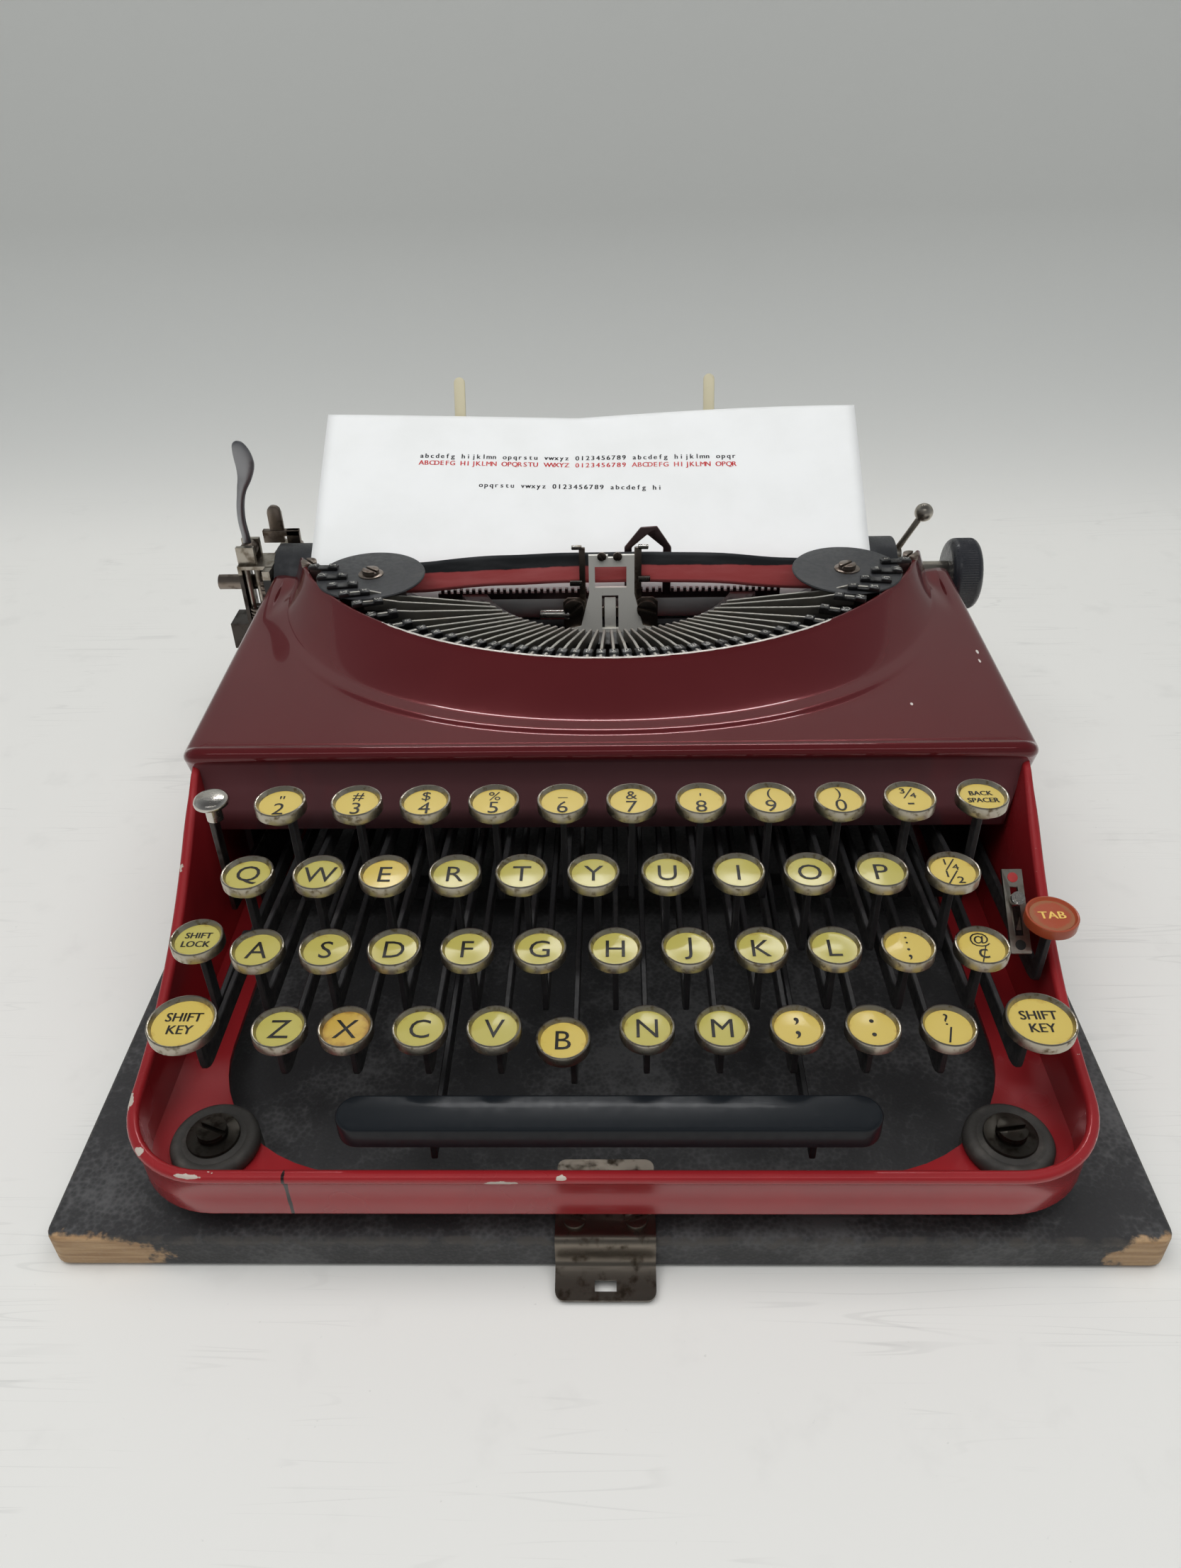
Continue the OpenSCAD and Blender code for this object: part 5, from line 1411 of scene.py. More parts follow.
    def space_bar(self) -> None:
        """Builds the space bar with its arms."""
        piece = Piece("space_bar_dressed", "space_bar", "black_gloss", [SLATE, LEVER_BLACK],
                      ["space_bar"])
        half, deep = self.space_half, self.space_deep
        turns = [radians(a) for a in range(-90, 91, 10)]
        ends = [(half + deep * cos(a), deep * sin(a)) for a in turns]
        outline = ends + [(-u, -v) for u, v in ends]
        shape = plate(outline, self.space_tall)
        flat = [e for e in shape.edges if slant(e) < 0.1]
        soften(shape, [e for e in flat if e.verts[0].co.z > 1], 0.9, 4)
        soften(shape, [e for e in shape.edges if max(v.co.z for v in e.verts) < 0.1], 0.6, 2)
        piece.add(shape, 0, Matrix.Translation(self.space_at), lambda at: 0.25 * ease(46.5, 48.5, at.z))
        sy, sz = self.shaft
        arm = [(sy, sz - 3), (-138, 33), (-138, 45.5), (-134, 45.5), (-134, 39), (sy, sz + 3)]
        for index in (2, 7):
            x = (self.key_x(0, index) + self.key_x(2, index + 1)) / 2
            left, right = x - self.thick / 2, x + self.thick / 2
            piece.add(plate(arm, self.thick, 0.25, 1), 1, from_side(left))
            piece.add(rod((left, sy, sz), (right, sy, sz), self.hub, 28, 0.2), 1)
        piece.finish()

    def colour_dots(self) -> None:
        """Builds the red and the black dot of the ribbon colour plate."""
        piece = Piece("ribbon_colour_dots", "base", "nickel", [RED_DOT, BLACK_INK])
        tilt = Matrix.Translation(self.dots_at) @ Matrix.Rotation(radians(self.dots_tilt), 4, "X")
        for index, along in enumerate((self.dots_apart, -self.dots_apart)):
            dot = lathe([(1.5, 1.15), (1.4, 1.3), (1.0, 1.36), (0, 1.36)], 20)
            piece.add(dot, index, tilt @ Matrix.Translation((0, along, 0)))
        piece.finish()

    def type_raiser(self) -> None:
        """Builds the type raiser with its mushroom knob."""
        piece = Piece("raiser_dressed", "type_raiser", "nickel", [NICKEL, DARK_STEEL],
                      ["type_raiser"])
        y, z = self.raiser_pin
        left, right = self.raiser_x, self.raiser_x + self.thick
        bar = [(y, z - 3), (-63.6, 51), (-63.6, 87), (-59.6, 87), (-59.6, 57), (y, z + 3)]
        piece.add(plate(bar, self.thick, 0.25, 1), 1, from_side(left))
        piece.add(rod((-116.5, y, z), (right, y, z), 2, 20, 0.2), 1)
        piece.add(rod((left, y, z), (right, y, z), 3, 24, 0.2), 1)
        piece.add(lathe(self.MUSHROOM), 0, Matrix.Translation(self.raiser_knob))
        piece.finish()

    def build(self) -> None:
        """Builds all keys and dresses what carries them."""
        self.letter_keys()
        self.figure_keys()
        self.function_keys()
        self.space_bar()
        dress("inner_frame", INNER_BLACK, 0.4)
        dress("selector_plate", DULL_NICKEL, 0.3)
        dress("selector_lever", NICKEL, 0.3)
        self.colour_dots()
        self.type_raiser()


@dataclass
class TypeBasket:
    """Type bars with their slugs, the segment, the guide, the ribbon and its spools."""

    letters: LetterCase
    count: int = 42
    fan: float = 92.0
    print_y: float = 68.0
    segment: Pair = (92.0, 54.0)
    tip: Pair = (129.5, 124.8)
    inner_z: float = 90.0
    outer_z: float = 94.9
    spool: Pair = (86.8, 67.0)
    wound: float = 12.0
    band: float = 12.4
    guide_x: float = 1.3
    slug_long: float = 11.0
    slug_thick: float = 3.2
    bar_thick: float = 1.0

    # Depth of the ribbon at places along its right half
    RIBBON = ((0, 83.75), (8, 83.75), (16, 83.7), (20, 83.5), (24, 83.2), (34, 82.5), (46, 81.8), (58, 81.1),
              (70, 80.4), (80, 79.8), (86.8, 79.4))
    # Radius and height of a spool's lower flange, wound ribbon, cover and nut, with steps and finish of each
    SPOOL = ((((2.2, 81.9), (19.2, 81.9), (19.7, 82.2), (19.7, 82.6), (19.2, 82.9), (12, 82.9)), 64, 0),
             (((12, 82.9), (12.0, 97.3)), 64, 2),
             (((12, 97.3), (19.1, 97.3), (19.6, 97.5), (19.7, 97.8), (19.4, 98.2), (18.6, 98.3),
               (3.4, 98.3)), 72, 0),
             (((4.6, 98.2), (4.6, 98.6), (4.3, 98.8), (2.0, 98.8)), 36, 1))
    FACES = "2QAZ3WSX4EDC5RFV6TGB7YHN8UJM9IK0OLP"

    @classmethod
    def strings(cls) -> set[str]:
        """Every string that a slug shows."""
        return set(cls.FACES) | set(cls.FACES.lower())

    def reach(self, angle: float, circle: Pair) -> float:
        """Distance from the printing place to a circle, along a bar."""
        d = self.print_y - circle[0]
        c = cos(angle) * d
        return c + math.sqrt(c * c + circle[1] ** 2 - d * d)

    def past_spool(self, angle: float) -> float:
        """Distance at which a bar comes out past a spool, or 0."""
        sx, sy = math.copysign(self.spool[0], angle), self.spool[1] - self.print_y
        ux, uy = sin(angle), -cos(angle)
        side = sx * uy - sy * ux
        room = self.wound + 2.2
        return sx * ux + sy * uy + math.sqrt(room * room - side * side) if abs(side) < room else 0.0

    def bars(self) -> None:
        """Builds the type bars and their slugs."""
        piece = Piece("type_bars_dressed", "base", "type_steel",
                      [BAR_STEEL, SLUG_STEEL, TYPE_FACE], ["type_bars"])
        for i in range(self.count):
            angle = radians(-self.fan + 2 * self.fan * i / (self.count - 1))
            start = self.reach(angle, self.segment)
            r0 = max(start, self.past_spool(angle))
            r1 = self.reach(angle, self.tip)
            long = self.slug_long
            z0 = mix(self.inner_z, self.outer_z, (r0 - start) / (r1 - start))
            place = Matrix.Translation((0, self.print_y, 0)) @ Matrix.Rotation(angle - pi / 2, 4, "Z")
            raised = ease(radians(62), radians(78), abs(angle))
            top = self.outer_z + 5.2 * raised
            deep = mix(4.0, 1.55, raised)
            upright = Matrix.Rotation(pi / 2, 4, "X")
            if r1 - long - r0 > 2:
                bar = plate([(r0, z0 - 3.5), (r1 - 4, top - 3.5), (r1 - 4, top - 0.4), (r1 - long, top - 0.5),
                             (r1 - long - 6, mix(z0, top, 0.75)), (r0, z0)], self.bar_thick, 0.15, 1)
            else:
                ends = r0 + 0.3, r1 - 0.4
                bar = plate([(ends[0], top - 6), (ends[1], top - 6), (ends[1], top - 1), (ends[0], top - 1)],
                            self.bar_thick)
            piece.add(bar, 0, place @ Matrix.Translation((0, self.bar_thick / 2, 0)) @ upright)
            slug = plate([(r1 - long, top - deep + 0.4 * (1 - raised)), (r1, top - deep), (r1, top - 0.35),
                          (r1 - 3.6, top), (r1 - 3.9, top - 0.7), (r1 - long + 3.6, top - 0.7),
                          (r1 - long + 3.3, top), (r1 - long, top - 0.25)], self.slug_thick, 0.25, 1)
            piece.add(slug, 1, place @ Matrix.Translation((0, self.slug_thick / 2, 0)) @ upright)
            mark = self.FACES[i % len(self.FACES)]
            for text, along in ((mark, r1 - 1.9), (mark.lower(), r1 - long + 1.8)):
                ink = self.letters.shape(text, 2.1)
                flip = Matrix.Scale(-1, 4, (1, 0, 0)) @ Matrix.Rotation(pi / 2, 4, "Z")
                piece.add(ink, 2, place @ Matrix.Translation((along, 0, top + 0.04)) @ flip)
        piece.finish()

    def ribbon(self) -> None:
        """Builds the ribbon between the spools as a thin band."""
        piece = Piece("ribbon_band", "base", "ribbon_cloth", [RibbonCloth()], ["ribbon"])
        line = [tuple(p) for p in flowing(mirrored(self.RIBBON), 4)]

        def place(row: int, column: int) -> Point:
            """One point of the band."""
            x, y = line[column]
            slack = 0.2 * sin(x / 13.0) * ease(20, 40, abs(x)) * (1 - ease(60, 70, abs(x)))
            low = mix(86.0, 84.3, ease(40, 72, abs(x))) + slack
            return x, y + 0.05 * sin(x / 5.0), low + self.band * row / 8

        piece.add(bent_grid(9, len(line), place))
        made = piece.finish()
        thick = made.modifiers.new("cloth", "SOLIDIFY")
        thick.thickness = 0.16 * MM
        thick.offset = 0
        length = sum(math.dist(a, b) for a, b in zip(line, line[1:])) * MM

    def spools(self) -> None:
        """Builds the two spools with their covers and nuts."""
        for name, side in (("left_spool", -1), ("right_spool", 1)):
            finishes = [SPOOL_BLACK, BROWN_STEEL, RUBBER]
            piece = Piece(f"{name}_dressed", name, "black_steel", finishes, [name])
            x, y = side * self.spool[0], self.spool[1]
            for profile, steps, finish in self.SPOOL:
                piece.add(lathe(profile, steps), finish, Matrix.Translation((x, y, 0)))
            piece.screw((x, y, 98.7), (0, 0, 1), (3.1, 1.7), 40 * side, 1)
            piece.finish()

    def guide(self) -> None:
        """Builds the type guide with its screws, the toothed scale and the card loop."""
        # The guide plate's pale finish is a painted reflection of bright surroundings
        finishes = [GUIDE_NICKEL_PAINTED_SHINE, SCALE_STEEL, BROWN_STEEL, NICKEL]
        piece = Piece("guide_dressed", "base", "nickel", finishes, ["type_guide"])
        c = self.guide_x
        side = [(8.6, 99.2), (8.6, 83), (10.4, 76), (11.9, 69.9), (16.5, 68.5), (16.5, 62)]
        notch = [(-1.3, 99.2), (-1.3, 98.2), (1.3, 98.2), (1.3, 99.2)]
        outline = [(c + u, v) for u, v in side + [(-u, v) for u, v in reversed(side)] + notch]
        holes = [[(-5.0, 86.1), (6.9, 86.1), (6.9, 94.6), (-5.0, 94.6)],
                 [(-2.5, 68.7), (3.8, 68.7), (3.8, 82.8), (-2.5, 82.8)]]
        piece.add(pierced(outline, holes, 1.2), 0, from_front(79))
        piece.add(block((-1.5, 2.8), (79.5, 80.1), (67, 81.6), 0.2), 0)
        for x in (-2.3, 3.6):
            piece.screw((x, 79.05, 98.9), (0, -1, 0), (1.7, 0.9), 25 * x, 2)
        for x, z, turn in ((-13.2, 77.5, 40), (14.7, 77.0, -15)):
            ear = [(-4.2, 69), (4.2, 69), (4.2, 80), (2.4, 81.6), (-2.4, 81.6), (-4.2, 80)]
            piece.add(plate([(x + u, v) for u, v in ear], 0.9, 0.2), 2, from_front(79.4))
            piece.screw((x, 79.4, z), (0, -1, 0), (3.8, 1.5), turn, 2)
        piece.add(rod((-26.4, 80, 74.5), (-15, 80, 74.5), 1.9, 24, 0.4), 3)
        teeth = [(-66 + 2.4 * i + du, 82.6 - dv) for i in range(55)
                 for du, dv in ((0.0, 1.5), (1.2, 1.5), (1.2, 0.0), (2.4, 0.0))]
        piece.add(plate([(-66, 78.5)] + teeth + [(66, 78.5)], 1.4), 1, from_front(85.3))
        for x in (-50, 50):
            piece.add(block((x - 2, x + 2), (85.3, 86.7), (64, 79), 0.2), 1)
        loop = [(6.2, 80), (6.2, 99.6), (12.3, 107.4), (18.4, 107.8), (23.9, 99.4), (23.9, 80), (20.8, 80),
                (20.8, 99.4), (14.8, 104.6), (9.0, 99.5), (9.0, 80)]
        piece.add(plate(loop, 1.2, 0.35), 1, from_front(85.0))
        piece.finish()

    def vibrator(self) -> None:
        """Builds the fork that lifts the ribbon, with its four hooks."""
        piece = Piece("vibrator_dressed", "ribbon_vibrator", "nickel", [BROWN_STEEL, NICKEL],
                      ["ribbon_vibrator"])
        deep = (80.5, 81.7)
        piece.add(block((-11, 12.6), deep, (73, 77), 0.2), 0)
        for x0, x1, out, foot, top in ((-10.9, -8.6, -14.7, 86.0, -13.7), (9.9, 12.6, 16.0, 87.5, 15.2)):
            piece.add(block((x0, x1), deep, (73.5, 101.5), 0.2), 0)
            inner = (x0 + x1) / 2
            piece.add(block(sorted((inner, out)), (80.2, 82.0), (foot, foot + 2.5), 0.5), 1)
            piece.add(block(sorted((inner, top)), (80.3, 81.9), (100.8, 102.4), 0.4), 1)
        piece.finish()

    def screws(self) -> None:
        """Builds the screws of the feet, the latch, the guide and the rest."""
        finishes = [FOOT_STEEL, LATCH_METAL, BROWN_STEEL]
        piece = Piece("screws_dressed", "base", "nickel", finishes, ["screws"])
        for x, y in LowerFrame.feet:
            piece.add(rod((x, y, 26.8), (x, y, 28), 7, 40, 0.3), 0)
            piece.screw((x, y, 28), (0, 0, 1), (4.0, 2.5), 30 + x + y, 0)
            piece.add(rod((x, y, 12), (x, y, 27), 2.1, 16), 0)
        for side in (-1, 1):
            piece.screw((-1 + 8 * side, -142, 13.2), (0, 0, 1), (3.0, 1.0), 20 * side, 1)
            piece.screw((13.5 * side, 79.0, 66), (0, -1, 0), (2.6, 1.4), 35 * side, 2)
            bolt = (112.2 * side, 78.5)
            piece.add(rod((*bolt, 89.1), (*bolt, 96.9), 2.4, 24), 2)
            piece.screw((*bolt, 96.6), (0, 0, 1), (2.9, 2.2), 50 * side, 2)
            turn = Matrix.Rotation(radians(-150 if side > 0 else -30), 4, "Z")
            tab = block((-2.5, 6.6), (-1.7, 1.7), (95.5, 96.7), 0.2)
            piece.add(tab, 2, Matrix.Translation((*bolt, 0)) @ turn)
        piece.finish()

    def build(self) -> None:
        """Builds the basket and dresses what carries it."""
        self.bars()
        self.ribbon()
        self.spools()
        self.guide()
        self.vibrator()
        self.screws()
        dress("type_segment", SLUG_STEEL, 0.4)


@dataclass(frozen=True)
class CarriageMetal(Finish):
    """Black lacquer on the carriage, brown steel at its left end, and a nickel bracket over that."""

    name: str = "carriage_metal"
    steel_x: float = -135.6
    nickel_x: float = -132.4
    nickel_z: float = 84.5

    def draw(self, graph: Graph) -> None:
        """Draws the finish."""
        patch = graph.step(graph.noise(4, 6), 0.42, 0.75)
        plated = graph.blend(patch, (0.46, 0.42, 0.36), (0.22, 0.18, 0.13))
        brown = graph.blend(patch, (0.075, 0.066, 0.06), (0.04, 0.032, 0.027))
        black = graph.blend(patch, (0.012, 0.012, 0.013), (0.035, 0.033, 0.03))
        left = graph.step(graph.axis("X"), (self.steel_x + 0.1) * MM, (self.steel_x - 0.1) * MM)
        over = graph.step(graph.axis("Z"), (self.nickel_z - 0.1) * MM, (self.nickel_z + 0.1) * MM)
        end = graph.step(graph.axis("X"), (self.nickel_x + 0.1) * MM, (self.nickel_x - 0.1) * MM)
        bracket = graph.math("MULTIPLY", over, end)
        graph.paint({"Base Color": graph.blend(bracket, graph.blend(left, black, brown), plated),
                     "Metallic": graph.math("MAXIMUM", bracket, left),
                     "Roughness": graph.step(patch, 0.0, 1.0, (0.28, 0.46))})
        graph.bump(graph.noise(0.9, 4), 0.02, 0.4)


@dataclass
class Carriage:
    """Platen with its knob, the sheet of paper, the levers and the frame that carries them."""

    letters: LetterCase
    axis: Pair = (105.0, 78.0)
    knob_x: Pair = (134.45, 146.25)
    paper_x: Pair = (-116.5, 101.5)
    paper_r: float = 15.45
    slope: float = 31.0
    out: float = 71.5
    typed: float = 2.117
    pin: Pair = (123.5, 84.0)
    start: float = 265.0
    fold: float = 0.475
    lever_at: Place = (-142.85, 104.5, 92.1)
    ball: Place = (127.25, 123.5, 96.2)
    ball_r: float = 3.7
    fingers_x: Pair = (-61.6, 42.0)
    finger: tuple[Point, Point] = ((0, 134, 64), (0, 167, 140))
    finger_half: float = 2.3

    # Typed rows: text, whether it is red, first and last place across, and height out of the platen at both
    LONG_ROW = "abcdefg hijklmn opqrstu vwxyz 0123456789 abcdefg hijklmn opqr"
    ROWS = ((LONG_ROW, False, (-76.0, 52.6), (49.0, 46.0)),
            (LONG_ROW.upper(), True, (-76.0, 52.6), (45.4, 42.0)),
            ("opqrstu vwxyz 0123456789 abcdefg hi", False, (-51.2, 23.0), (33.8, 31.0)))
    # Place across and height of the return lever's middle line above its pin
    LEVER_BENDS = ((-142.9, 98), (-143.2, 104), (-142.6, 110), (-140.9, 116.5), (-138.7, 122), (-137.7, 127),
                   (-138.4, 132), (-139.8, 135.6))

    @classmethod
    def strings(cls) -> set[str]:
        """Every string that the sheet shows."""
        return {c for row in cls.ROWS for c in row[0] if c != " "}

    def on_sheet(self, x: float, along: float, lift: float = 0.0) -> Point:
        """Place on the sheet.

        Args:
            x: The place across.
            along: The distance from the lower edge, round the platen and up.
            lift: How far over the middle of the sheet.

        Returns:
            The place.
        """
        exit_angle = 90 + self.slope
        arc = self.paper_r * radians(self.start - exit_angle)
        angle = radians(max(self.start - math.degrees(along / self.paper_r), exit_angle))
        out = max(along - arc, 0.0)
        share = out / self.out
        across = (x - self.paper_x[0]) / (self.paper_x[1] - self.paper_x[0])
        past = max(across - self.fold, 0.0) / (1 - self.fold)
        dip = (min(across, self.fold) / self.fold) ** 1.15
        sag = 5.6 * sin(pi / 2 * min(1.08 * past, 1.0)) - 4.5 * dip
        r = self.paper_r + lift + sag * share ** 2
        rise = radians(self.slope)
        return (x, self.axis[0] + r * cos(angle) + out * cos(rise),
                self.axis[1] + r * sin(angle) + out * sin(rise))

    def paper(self) -> None:
        """Builds the sheet and its typed rows."""
        arc = self.paper_r * radians(self.start - 90 - self.slope)
        total = arc + self.out
        piece = Piece("typing_sheet", "carriage", "paper", [PaperStock()], ["paper_sheet"])
        left, right = self.paper_x

        def place(row: int, column: int) -> Point:
            """One point of the sheet."""
            return self.on_sheet(mix(left, right, column / 48), total * row / 56)

        piece.add(bent_grid(57, 49, place))
        made = piece.finish(60)
        thick = made.modifiers.new("stock", "SOLIDIFY")
        thick.thickness = 0.15 * MM
        thick.offset = 0
        rows = Piece("typed_rows", "carriage", "paper", [TYPED_BLACK, TYPED_RED])
        for text, red, (first, last), (high, low) in self.ROWS:
            for i, mark in enumerate(text):
                if mark == " ":
                    continue
                shape = self.letters.shape(mark, 2.3, False, 0.95)
                middle = first + self.typed * i
                out = mix(high, low, (middle - first) / (last - first))
                for strike in (-0.1, 0.1):
                    struck = shape.copy()
                    for vert in struck.verts:
                        x, along = middle + strike + vert.co.x, arc + out + vert.co.y
                        vert.co = self.on_sheet(x, along, 0.13 + 0.1 * strike)
                    rows.add(struck, int(red))
                shape.free()
        ink = rows.finish()

    def knob(self) -> None:
        """Builds the ribbed platen knob."""
        piece = Piece("knob_dressed", "platen_roll", "black_gloss", [KNOB_BLACK, DULL_NICKEL],
                      ["platen_knob"])
        wide = self.knob_x[1] - self.knob_x[0]
        turn = aim((self.knob_x[0], *self.axis), (1, 0, 0))
        turns = [(sin(pi * i / 16), cos(pi * i / 16)) for i in range(9)]
        near = [(10.3 + 3.6 * s, 3.1 - 3.1 * c) for s, c in turns]
        far = [(10.3 + 3.6 * c, 8.8 + 2.9 * s) for s, c in turns]
        dish = [(9.4, 11.45), (5.6, 11.2), (5.2, wide), (3.2, wide), (3.0, 11.4), (0, 11.4)]
        shape = lathe([(3, 0)] + near + far + dish, 192)
        for vert in shape.verts:
            r = vert.co.xy.length
            if 3.0 < vert.co.z < 8.9 and r > 13.8:
                tooth = round(math.atan2(vert.co.y, vert.co.x) / tau * 192) % 2
                vert.co.xy *= (r - 0.3 * tooth) / r
        piece.add(shape, 0, turn)
        piece.add(rod((116.75, *self.axis), (134.9, *self.axis), 5, 32, 0.4), 1)
        piece.finish()

    def return_lever(self) -> None:
        """Builds the spoon-shaped return lever."""
        finishes = [SPOON_NICKEL, BROWN_STEEL]
        piece = Piece("return_lever_dressed", "return_lever", "nickel", finishes, ["return_lever"])
        x, y, z = self.lever_at
        path = flowing([self.lever_at] + [(u, y, v) for u, v in self.LEVER_BENDS], 6)

        def half(share: float) -> Pair:
            """Half the width and the depth along the lever."""
            bowl = ease(0.42, 0.8, share)
            end = math.sqrt(max(1 - ((share - 0.74) / 0.26) ** 2, 0.03)) if share > 0.74 else 1.0
            return mix(1.55, 3.8, bowl) * end, mix(1.5, 1.0, share) * end

        piece.add(tube(path, half, 24))
        piece.add(rod((x, 101.3, z), (x, 107.7, z), 3.3, 28, 0.4), 1)
        piece.screw((x, 101.4, z), (0, -1, 0), (2.6, 0.9), 70, 1)
        piece.finish(60)

    def line_lever(self) -> None:
        """Builds the line lever on the left."""
        y, z = self.pin
        line = Piece("line_lever_dressed", "line_lever", "black_steel", [BROWN_STEEL], ["line_lever"])
        line.add(rod((-132.15, y, z), (-126.75, y, z), 3.3, 28, 0.3))
        line.add(block((-132.1, -126.8), (y - 1.8, y + 0.8), (z, z + 8.6), 0.3))
        line.add(block((-141.85, -126.75), (y - 1.8, y + 0.8), (z + 6, z + 8.6), 0.35))
        line.add(block((-141.8, -133.3), (y - 1.75, y + 0.75), (z + 3.2, z + 8.5), 0.35))
        tab = [(2.85, z + 7), (2.85, z + 16), (2.4, z + 17.6), (1.4, z + 18.6), (0, z + 18.9)]
        outline = [(-135.8 + u, v) for u, v in tab + [(-u, v) for u, v in reversed(tab[:-1])]]
        line.add(plate(outline, 2.2, 0.4), 0, from_front(y - 1.5))
        line.finish()

    def release_lever(self) -> None:
        """Builds the release lever with its ball."""
        y, z, r = self.pin[0], self.axis[1], self.ball_r
        release = Piece("release_lever_dressed", "release_lever", "nickel", [DULL_NICKEL],
                        ["release_lever"])
        release.add(rod((116.75, y, z), (120.15, y, z), 3.3, 28, 0.3))
        release.add(rod((118.45, y, z + 2.2), self.ball, 1.25, 20))
        turns = [pi * i / 16 for i in range(17)]
        bend = [(r * sin(a), -r * cos(a)) for a in turns]
        release.add(lathe(bend, 32), 0, Matrix.Translation(self.ball))
        release.finish()

    def fingers(self) -> None:
        """Builds the two paper fingers with their hubs."""
        piece = Piece("fingers_dressed", "paper_fingers", "nickel", [FINGER_CREAM], ["paper_fingers"])
        foot, tip = (Vector(p) for p in self.finger)
        along = (tip - foot).normalized()
        out = Vector((1, 0, 0)).cross(along)
        half = self.finger_half
        long = (tip - foot).length
        turns = [pi * i / 12 for i in range(13)]
        arc = [(half * cos(a), long - half + half * sin(a)) for a in turns]
        place = Matrix(((1, 0, 0), along, out)).transposed().to_4x4()
        for x in self.fingers_x:
            blade = plate([(-half, 0), (half, 0)] + arc, 1.2, 0.35)
            at = Matrix.Translation(foot + Vector((x, 0, 0))) @ place @ Matrix.Translation((0, 0, -0.6))
            piece.add(blade, 0, at)
            piece.add(rod((x - half, foot.y, foot.z), (x + half, foot.y, foot.z), 3.3, 28, 0.3))
        piece.finish()

    def end_works(self) -> None:
        """Builds the pins and the spring at the carriage's left end."""
        piece = Piece("left_end_works", "carriage", "nickel", [DULL_NICKEL, BROWN_STEEL])
        for x in (-143.7, -139.4):
            piece.add(rod((x, 99.5, 62), (x, 99.5, 86.4), 1.3, 20, 0.3), 0)
        for i in range(9):
            ring = lathe([(2.7 + 0.55 * cos(tau * k / 10), 0.55 * sin(tau * k / 10))
                          for k in range(11)], 24)
            piece.add(ring, 1, Matrix.Translation((-141.6, 98.2, 57 + 1.6 * i)))
        piece.finish()

    def build(self) -> None:
        """Builds the carriage and dresses what carries it."""
        self.paper()
        self.knob()
        self.return_lever()
        self.line_lever()
        self.release_lever()
        self.fingers()
        self.end_works()
        dress("carriage_bed", JAPAN, 0.4)
        dress("carriage_frame", CarriageMetal(), 0.4)
        dress("platen", PLATEN_RUBBER, 0.6, 3)
        dress("platen_shaft", BROWN_STEEL, 0.3)
        dress("paper_table", JAPAN, 0.3)


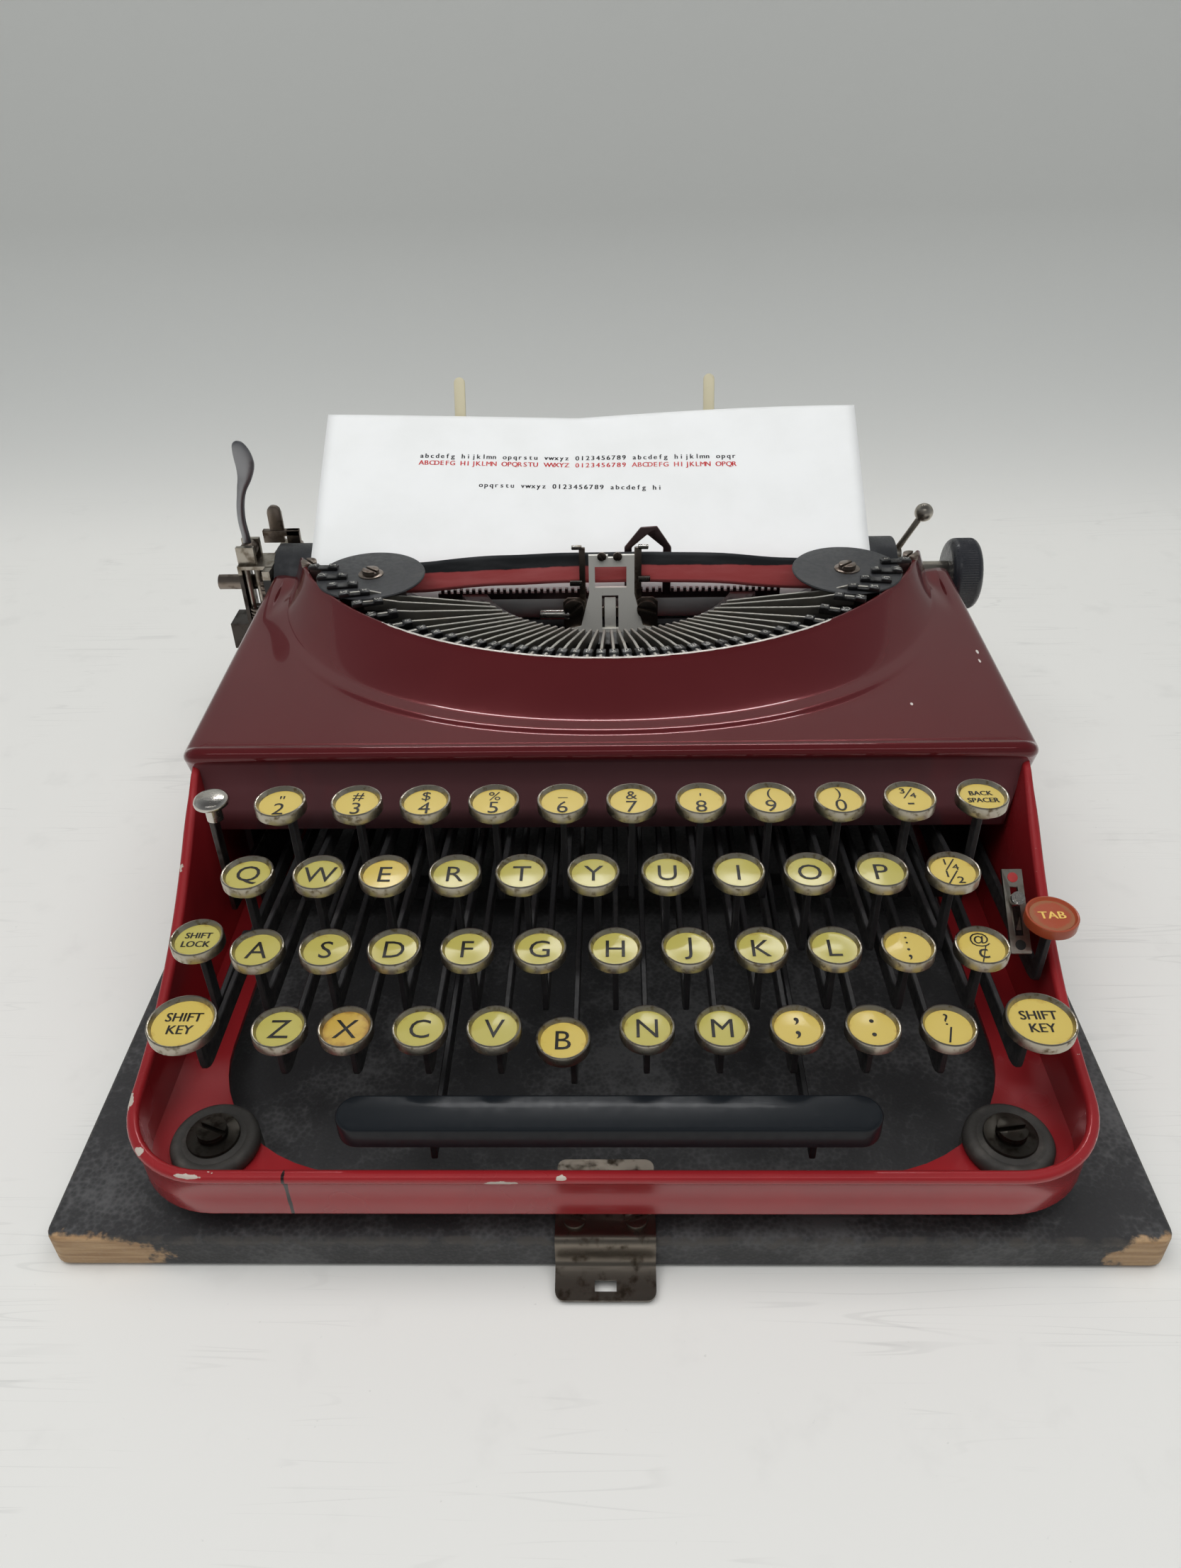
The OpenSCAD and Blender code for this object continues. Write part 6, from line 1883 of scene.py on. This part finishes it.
@dataclass
class Studio:
    """Floor with a wall behind, soft light and the camera at the photograph's place."""

    place: Place = (3.0, -319.0, 278.6)
    pitch: float = 35.5
    yaw: float = 1.66
    roll: float = 1.38
    focal: float = 1620.0
    frame: tuple[int, int] = (1666, 2212)
    sensor: float = 36.0
    floor_z: float = -0.4
    floor_front: float = -1500.0
    floor_half: float = 2200.0
    bend_y: float = 300.0
    bend_r: float = 160.0
    wall_top: float = 550.0

    # Lamps: name, place and aim in metres, size, power, and whether gloss and dull surfaces show it
    LAMPS = (("key", (-0.45, -0.25, 1.5), (0, 0, 0.05), (1.2, 1.0), 13.8, False, True),
             ("fill", (0.5, -0.15, 1.4), (0, 0, 0.05), (1.0, 0.8), 7.2, False, True),
             ("rear_strip", (0, 0.95, 1.15), (0, 0.05, 0.09), (0.8, 0.09), 4.6, True, False),
             ("front_strip", (0, -1.05, 1.6), (0, 0, 0.09), (1.6, 0.08), 2.0, True, True),
             ("low_fill", (0, -1.3, 0.6), (0, 0, 0.06), (1.2, 0.5), 1.5, False, True))
    SKY = (0.93, 0.97, 1.0, 1)
    # Along each axis of the sky: two directions, and its strength at them
    DIMMING = (("Z", (0.2, 0.9), (0.42, 0.12)), ("Y", (-0.7, 0.1), (0.5, 1.0)))

    def camera(self) -> None:
        """Makes the camera."""
        p, y, r = (radians(a) for a in (self.pitch, self.yaw, self.roll))
        ahead = Vector((-sin(y) * cos(p), cos(y) * cos(p), -sin(p)))
        right = Vector((cos(y), sin(y), 0))
        down = ahead.cross(right)
        across = cos(r) * right + sin(r) * down
        below = cos(r) * down - sin(r) * right
        data = bpy.data.cameras.new("camera")
        data.sensor_fit = "AUTO"
        data.sensor_width = self.sensor
        data.lens = self.focal * self.sensor / max(self.frame)
        data.clip_start = 0.01
        made = linked("camera", data)
        turn = Matrix((across, -below, -ahead)).transposed().to_4x4()
        made.matrix_world = Matrix.Translation(Vector(self.place) * MM) @ turn
        bpy.context.scene.camera = made

    def floor(self) -> None:
        """Makes the floor with its wall as one bent sheet."""
        z, r = self.floor_z, self.bend_r
        turns = [radians(4 * i) for i in range(1, 23)]
        section = [(self.floor_front, z), (self.bend_y, z)]
        section += [(self.bend_y + r * sin(a), z + r * (1 - cos(a))) for a in turns]
        section.append((self.bend_y + r, self.wall_top))
        sides = (-self.floor_half, self.floor_half)
        shape = bent_grid(2, len(section), lambda row, column: (sides[row], *section[column]))
        bmesh.ops.scale(shape, vec=(MM, MM, MM), verts=shape.verts)
        mesh = bpy.data.meshes.new("floor")
        for face in shape.faces:
            face.smooth = True
        shape.to_mesh(mesh)
        shape.free()
        mesh.materials.append(Backdrop().make())
        linked("floor", mesh)

    def light(self, name: str, at: Point, to: Point, size: Pair, power: float,
              mirrored_in: bool, lights: bool) -> None:
        """Hangs a soft lamp.

        Args:
            name: The lamp's name.
            at: Where it hangs, in metres.
            to: Where it points.
            size: Its width and length in metres.
            power: Its power in watts.
            mirrored_in: Whether glossy surfaces show it.
            lights: Whether dull surfaces are lit by it.
        """
        data = bpy.data.lights.new(name, "AREA")
        data.shape = "RECTANGLE"
        data.size, data.size_y = size
        data.energy = power
        made = linked(name, data)
        made.matrix_world = aim(at, Vector(at) - Vector(to))
        made.visible_glossy = mirrored_in
        made.visible_diffuse = lights

    def sky(self) -> None:
        """Makes the even light from all round, dimmer above and in front."""
        world = bpy.data.worlds.new("studio")
        world.use_nodes = True
        nodes, links = world.node_tree.nodes, world.node_tree.links
        background = nodes["Background"]
        background.inputs["Color"].default_value = self.SKY
        way = nodes.new("ShaderNodeSeparateXYZ")
        links.new(nodes.new("ShaderNodeTexCoord").outputs["Generated"], way.inputs[0])
        product = nodes.new("ShaderNodeMath")
        product.operation = "MULTIPLY"
        links.new(product.outputs[0], background.inputs["Strength"])
        for i, (axis, bounds, levels) in enumerate(self.DIMMING):
            dim = nodes.new("ShaderNodeMapRange")
            links.new(way.outputs[axis], dim.inputs["Value"])
            for name, value in zip(("From Min", "From Max", "To Min", "To Max"), bounds + levels):
                dim.inputs[name].default_value = value
            links.new(dim.outputs["Result"], product.inputs[i])
        bpy.context.scene.world = world

    def build(self) -> None:
        """Makes the camera, the floor and the lights."""
        self.camera()
        self.floor()
        for lamp in self.LAMPS:
            self.light(*lamp)
        self.sky()
        bpy.context.scene.view_settings.view_transform = "Standard"


def main() -> None:
    """Builds the sub-assemblies in order."""
    logging.basicConfig(level=logging.INFO, format="%(message)s")
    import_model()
    Studio().build()
    letters = LetterCase(Keyboard.strings() | TypeBasket.strings() | Carriage.strings())
    BaseBoard().build()
    LowerFrame().build()
    TopCover().build()
    Keyboard(letters).build()
    TypeBasket(letters).build()
    Carriage(letters).build()
    for mesh in letters.meshes.values():
        bpy.data.meshes.remove(mesh)


if __name__ == "__main__":
    main()
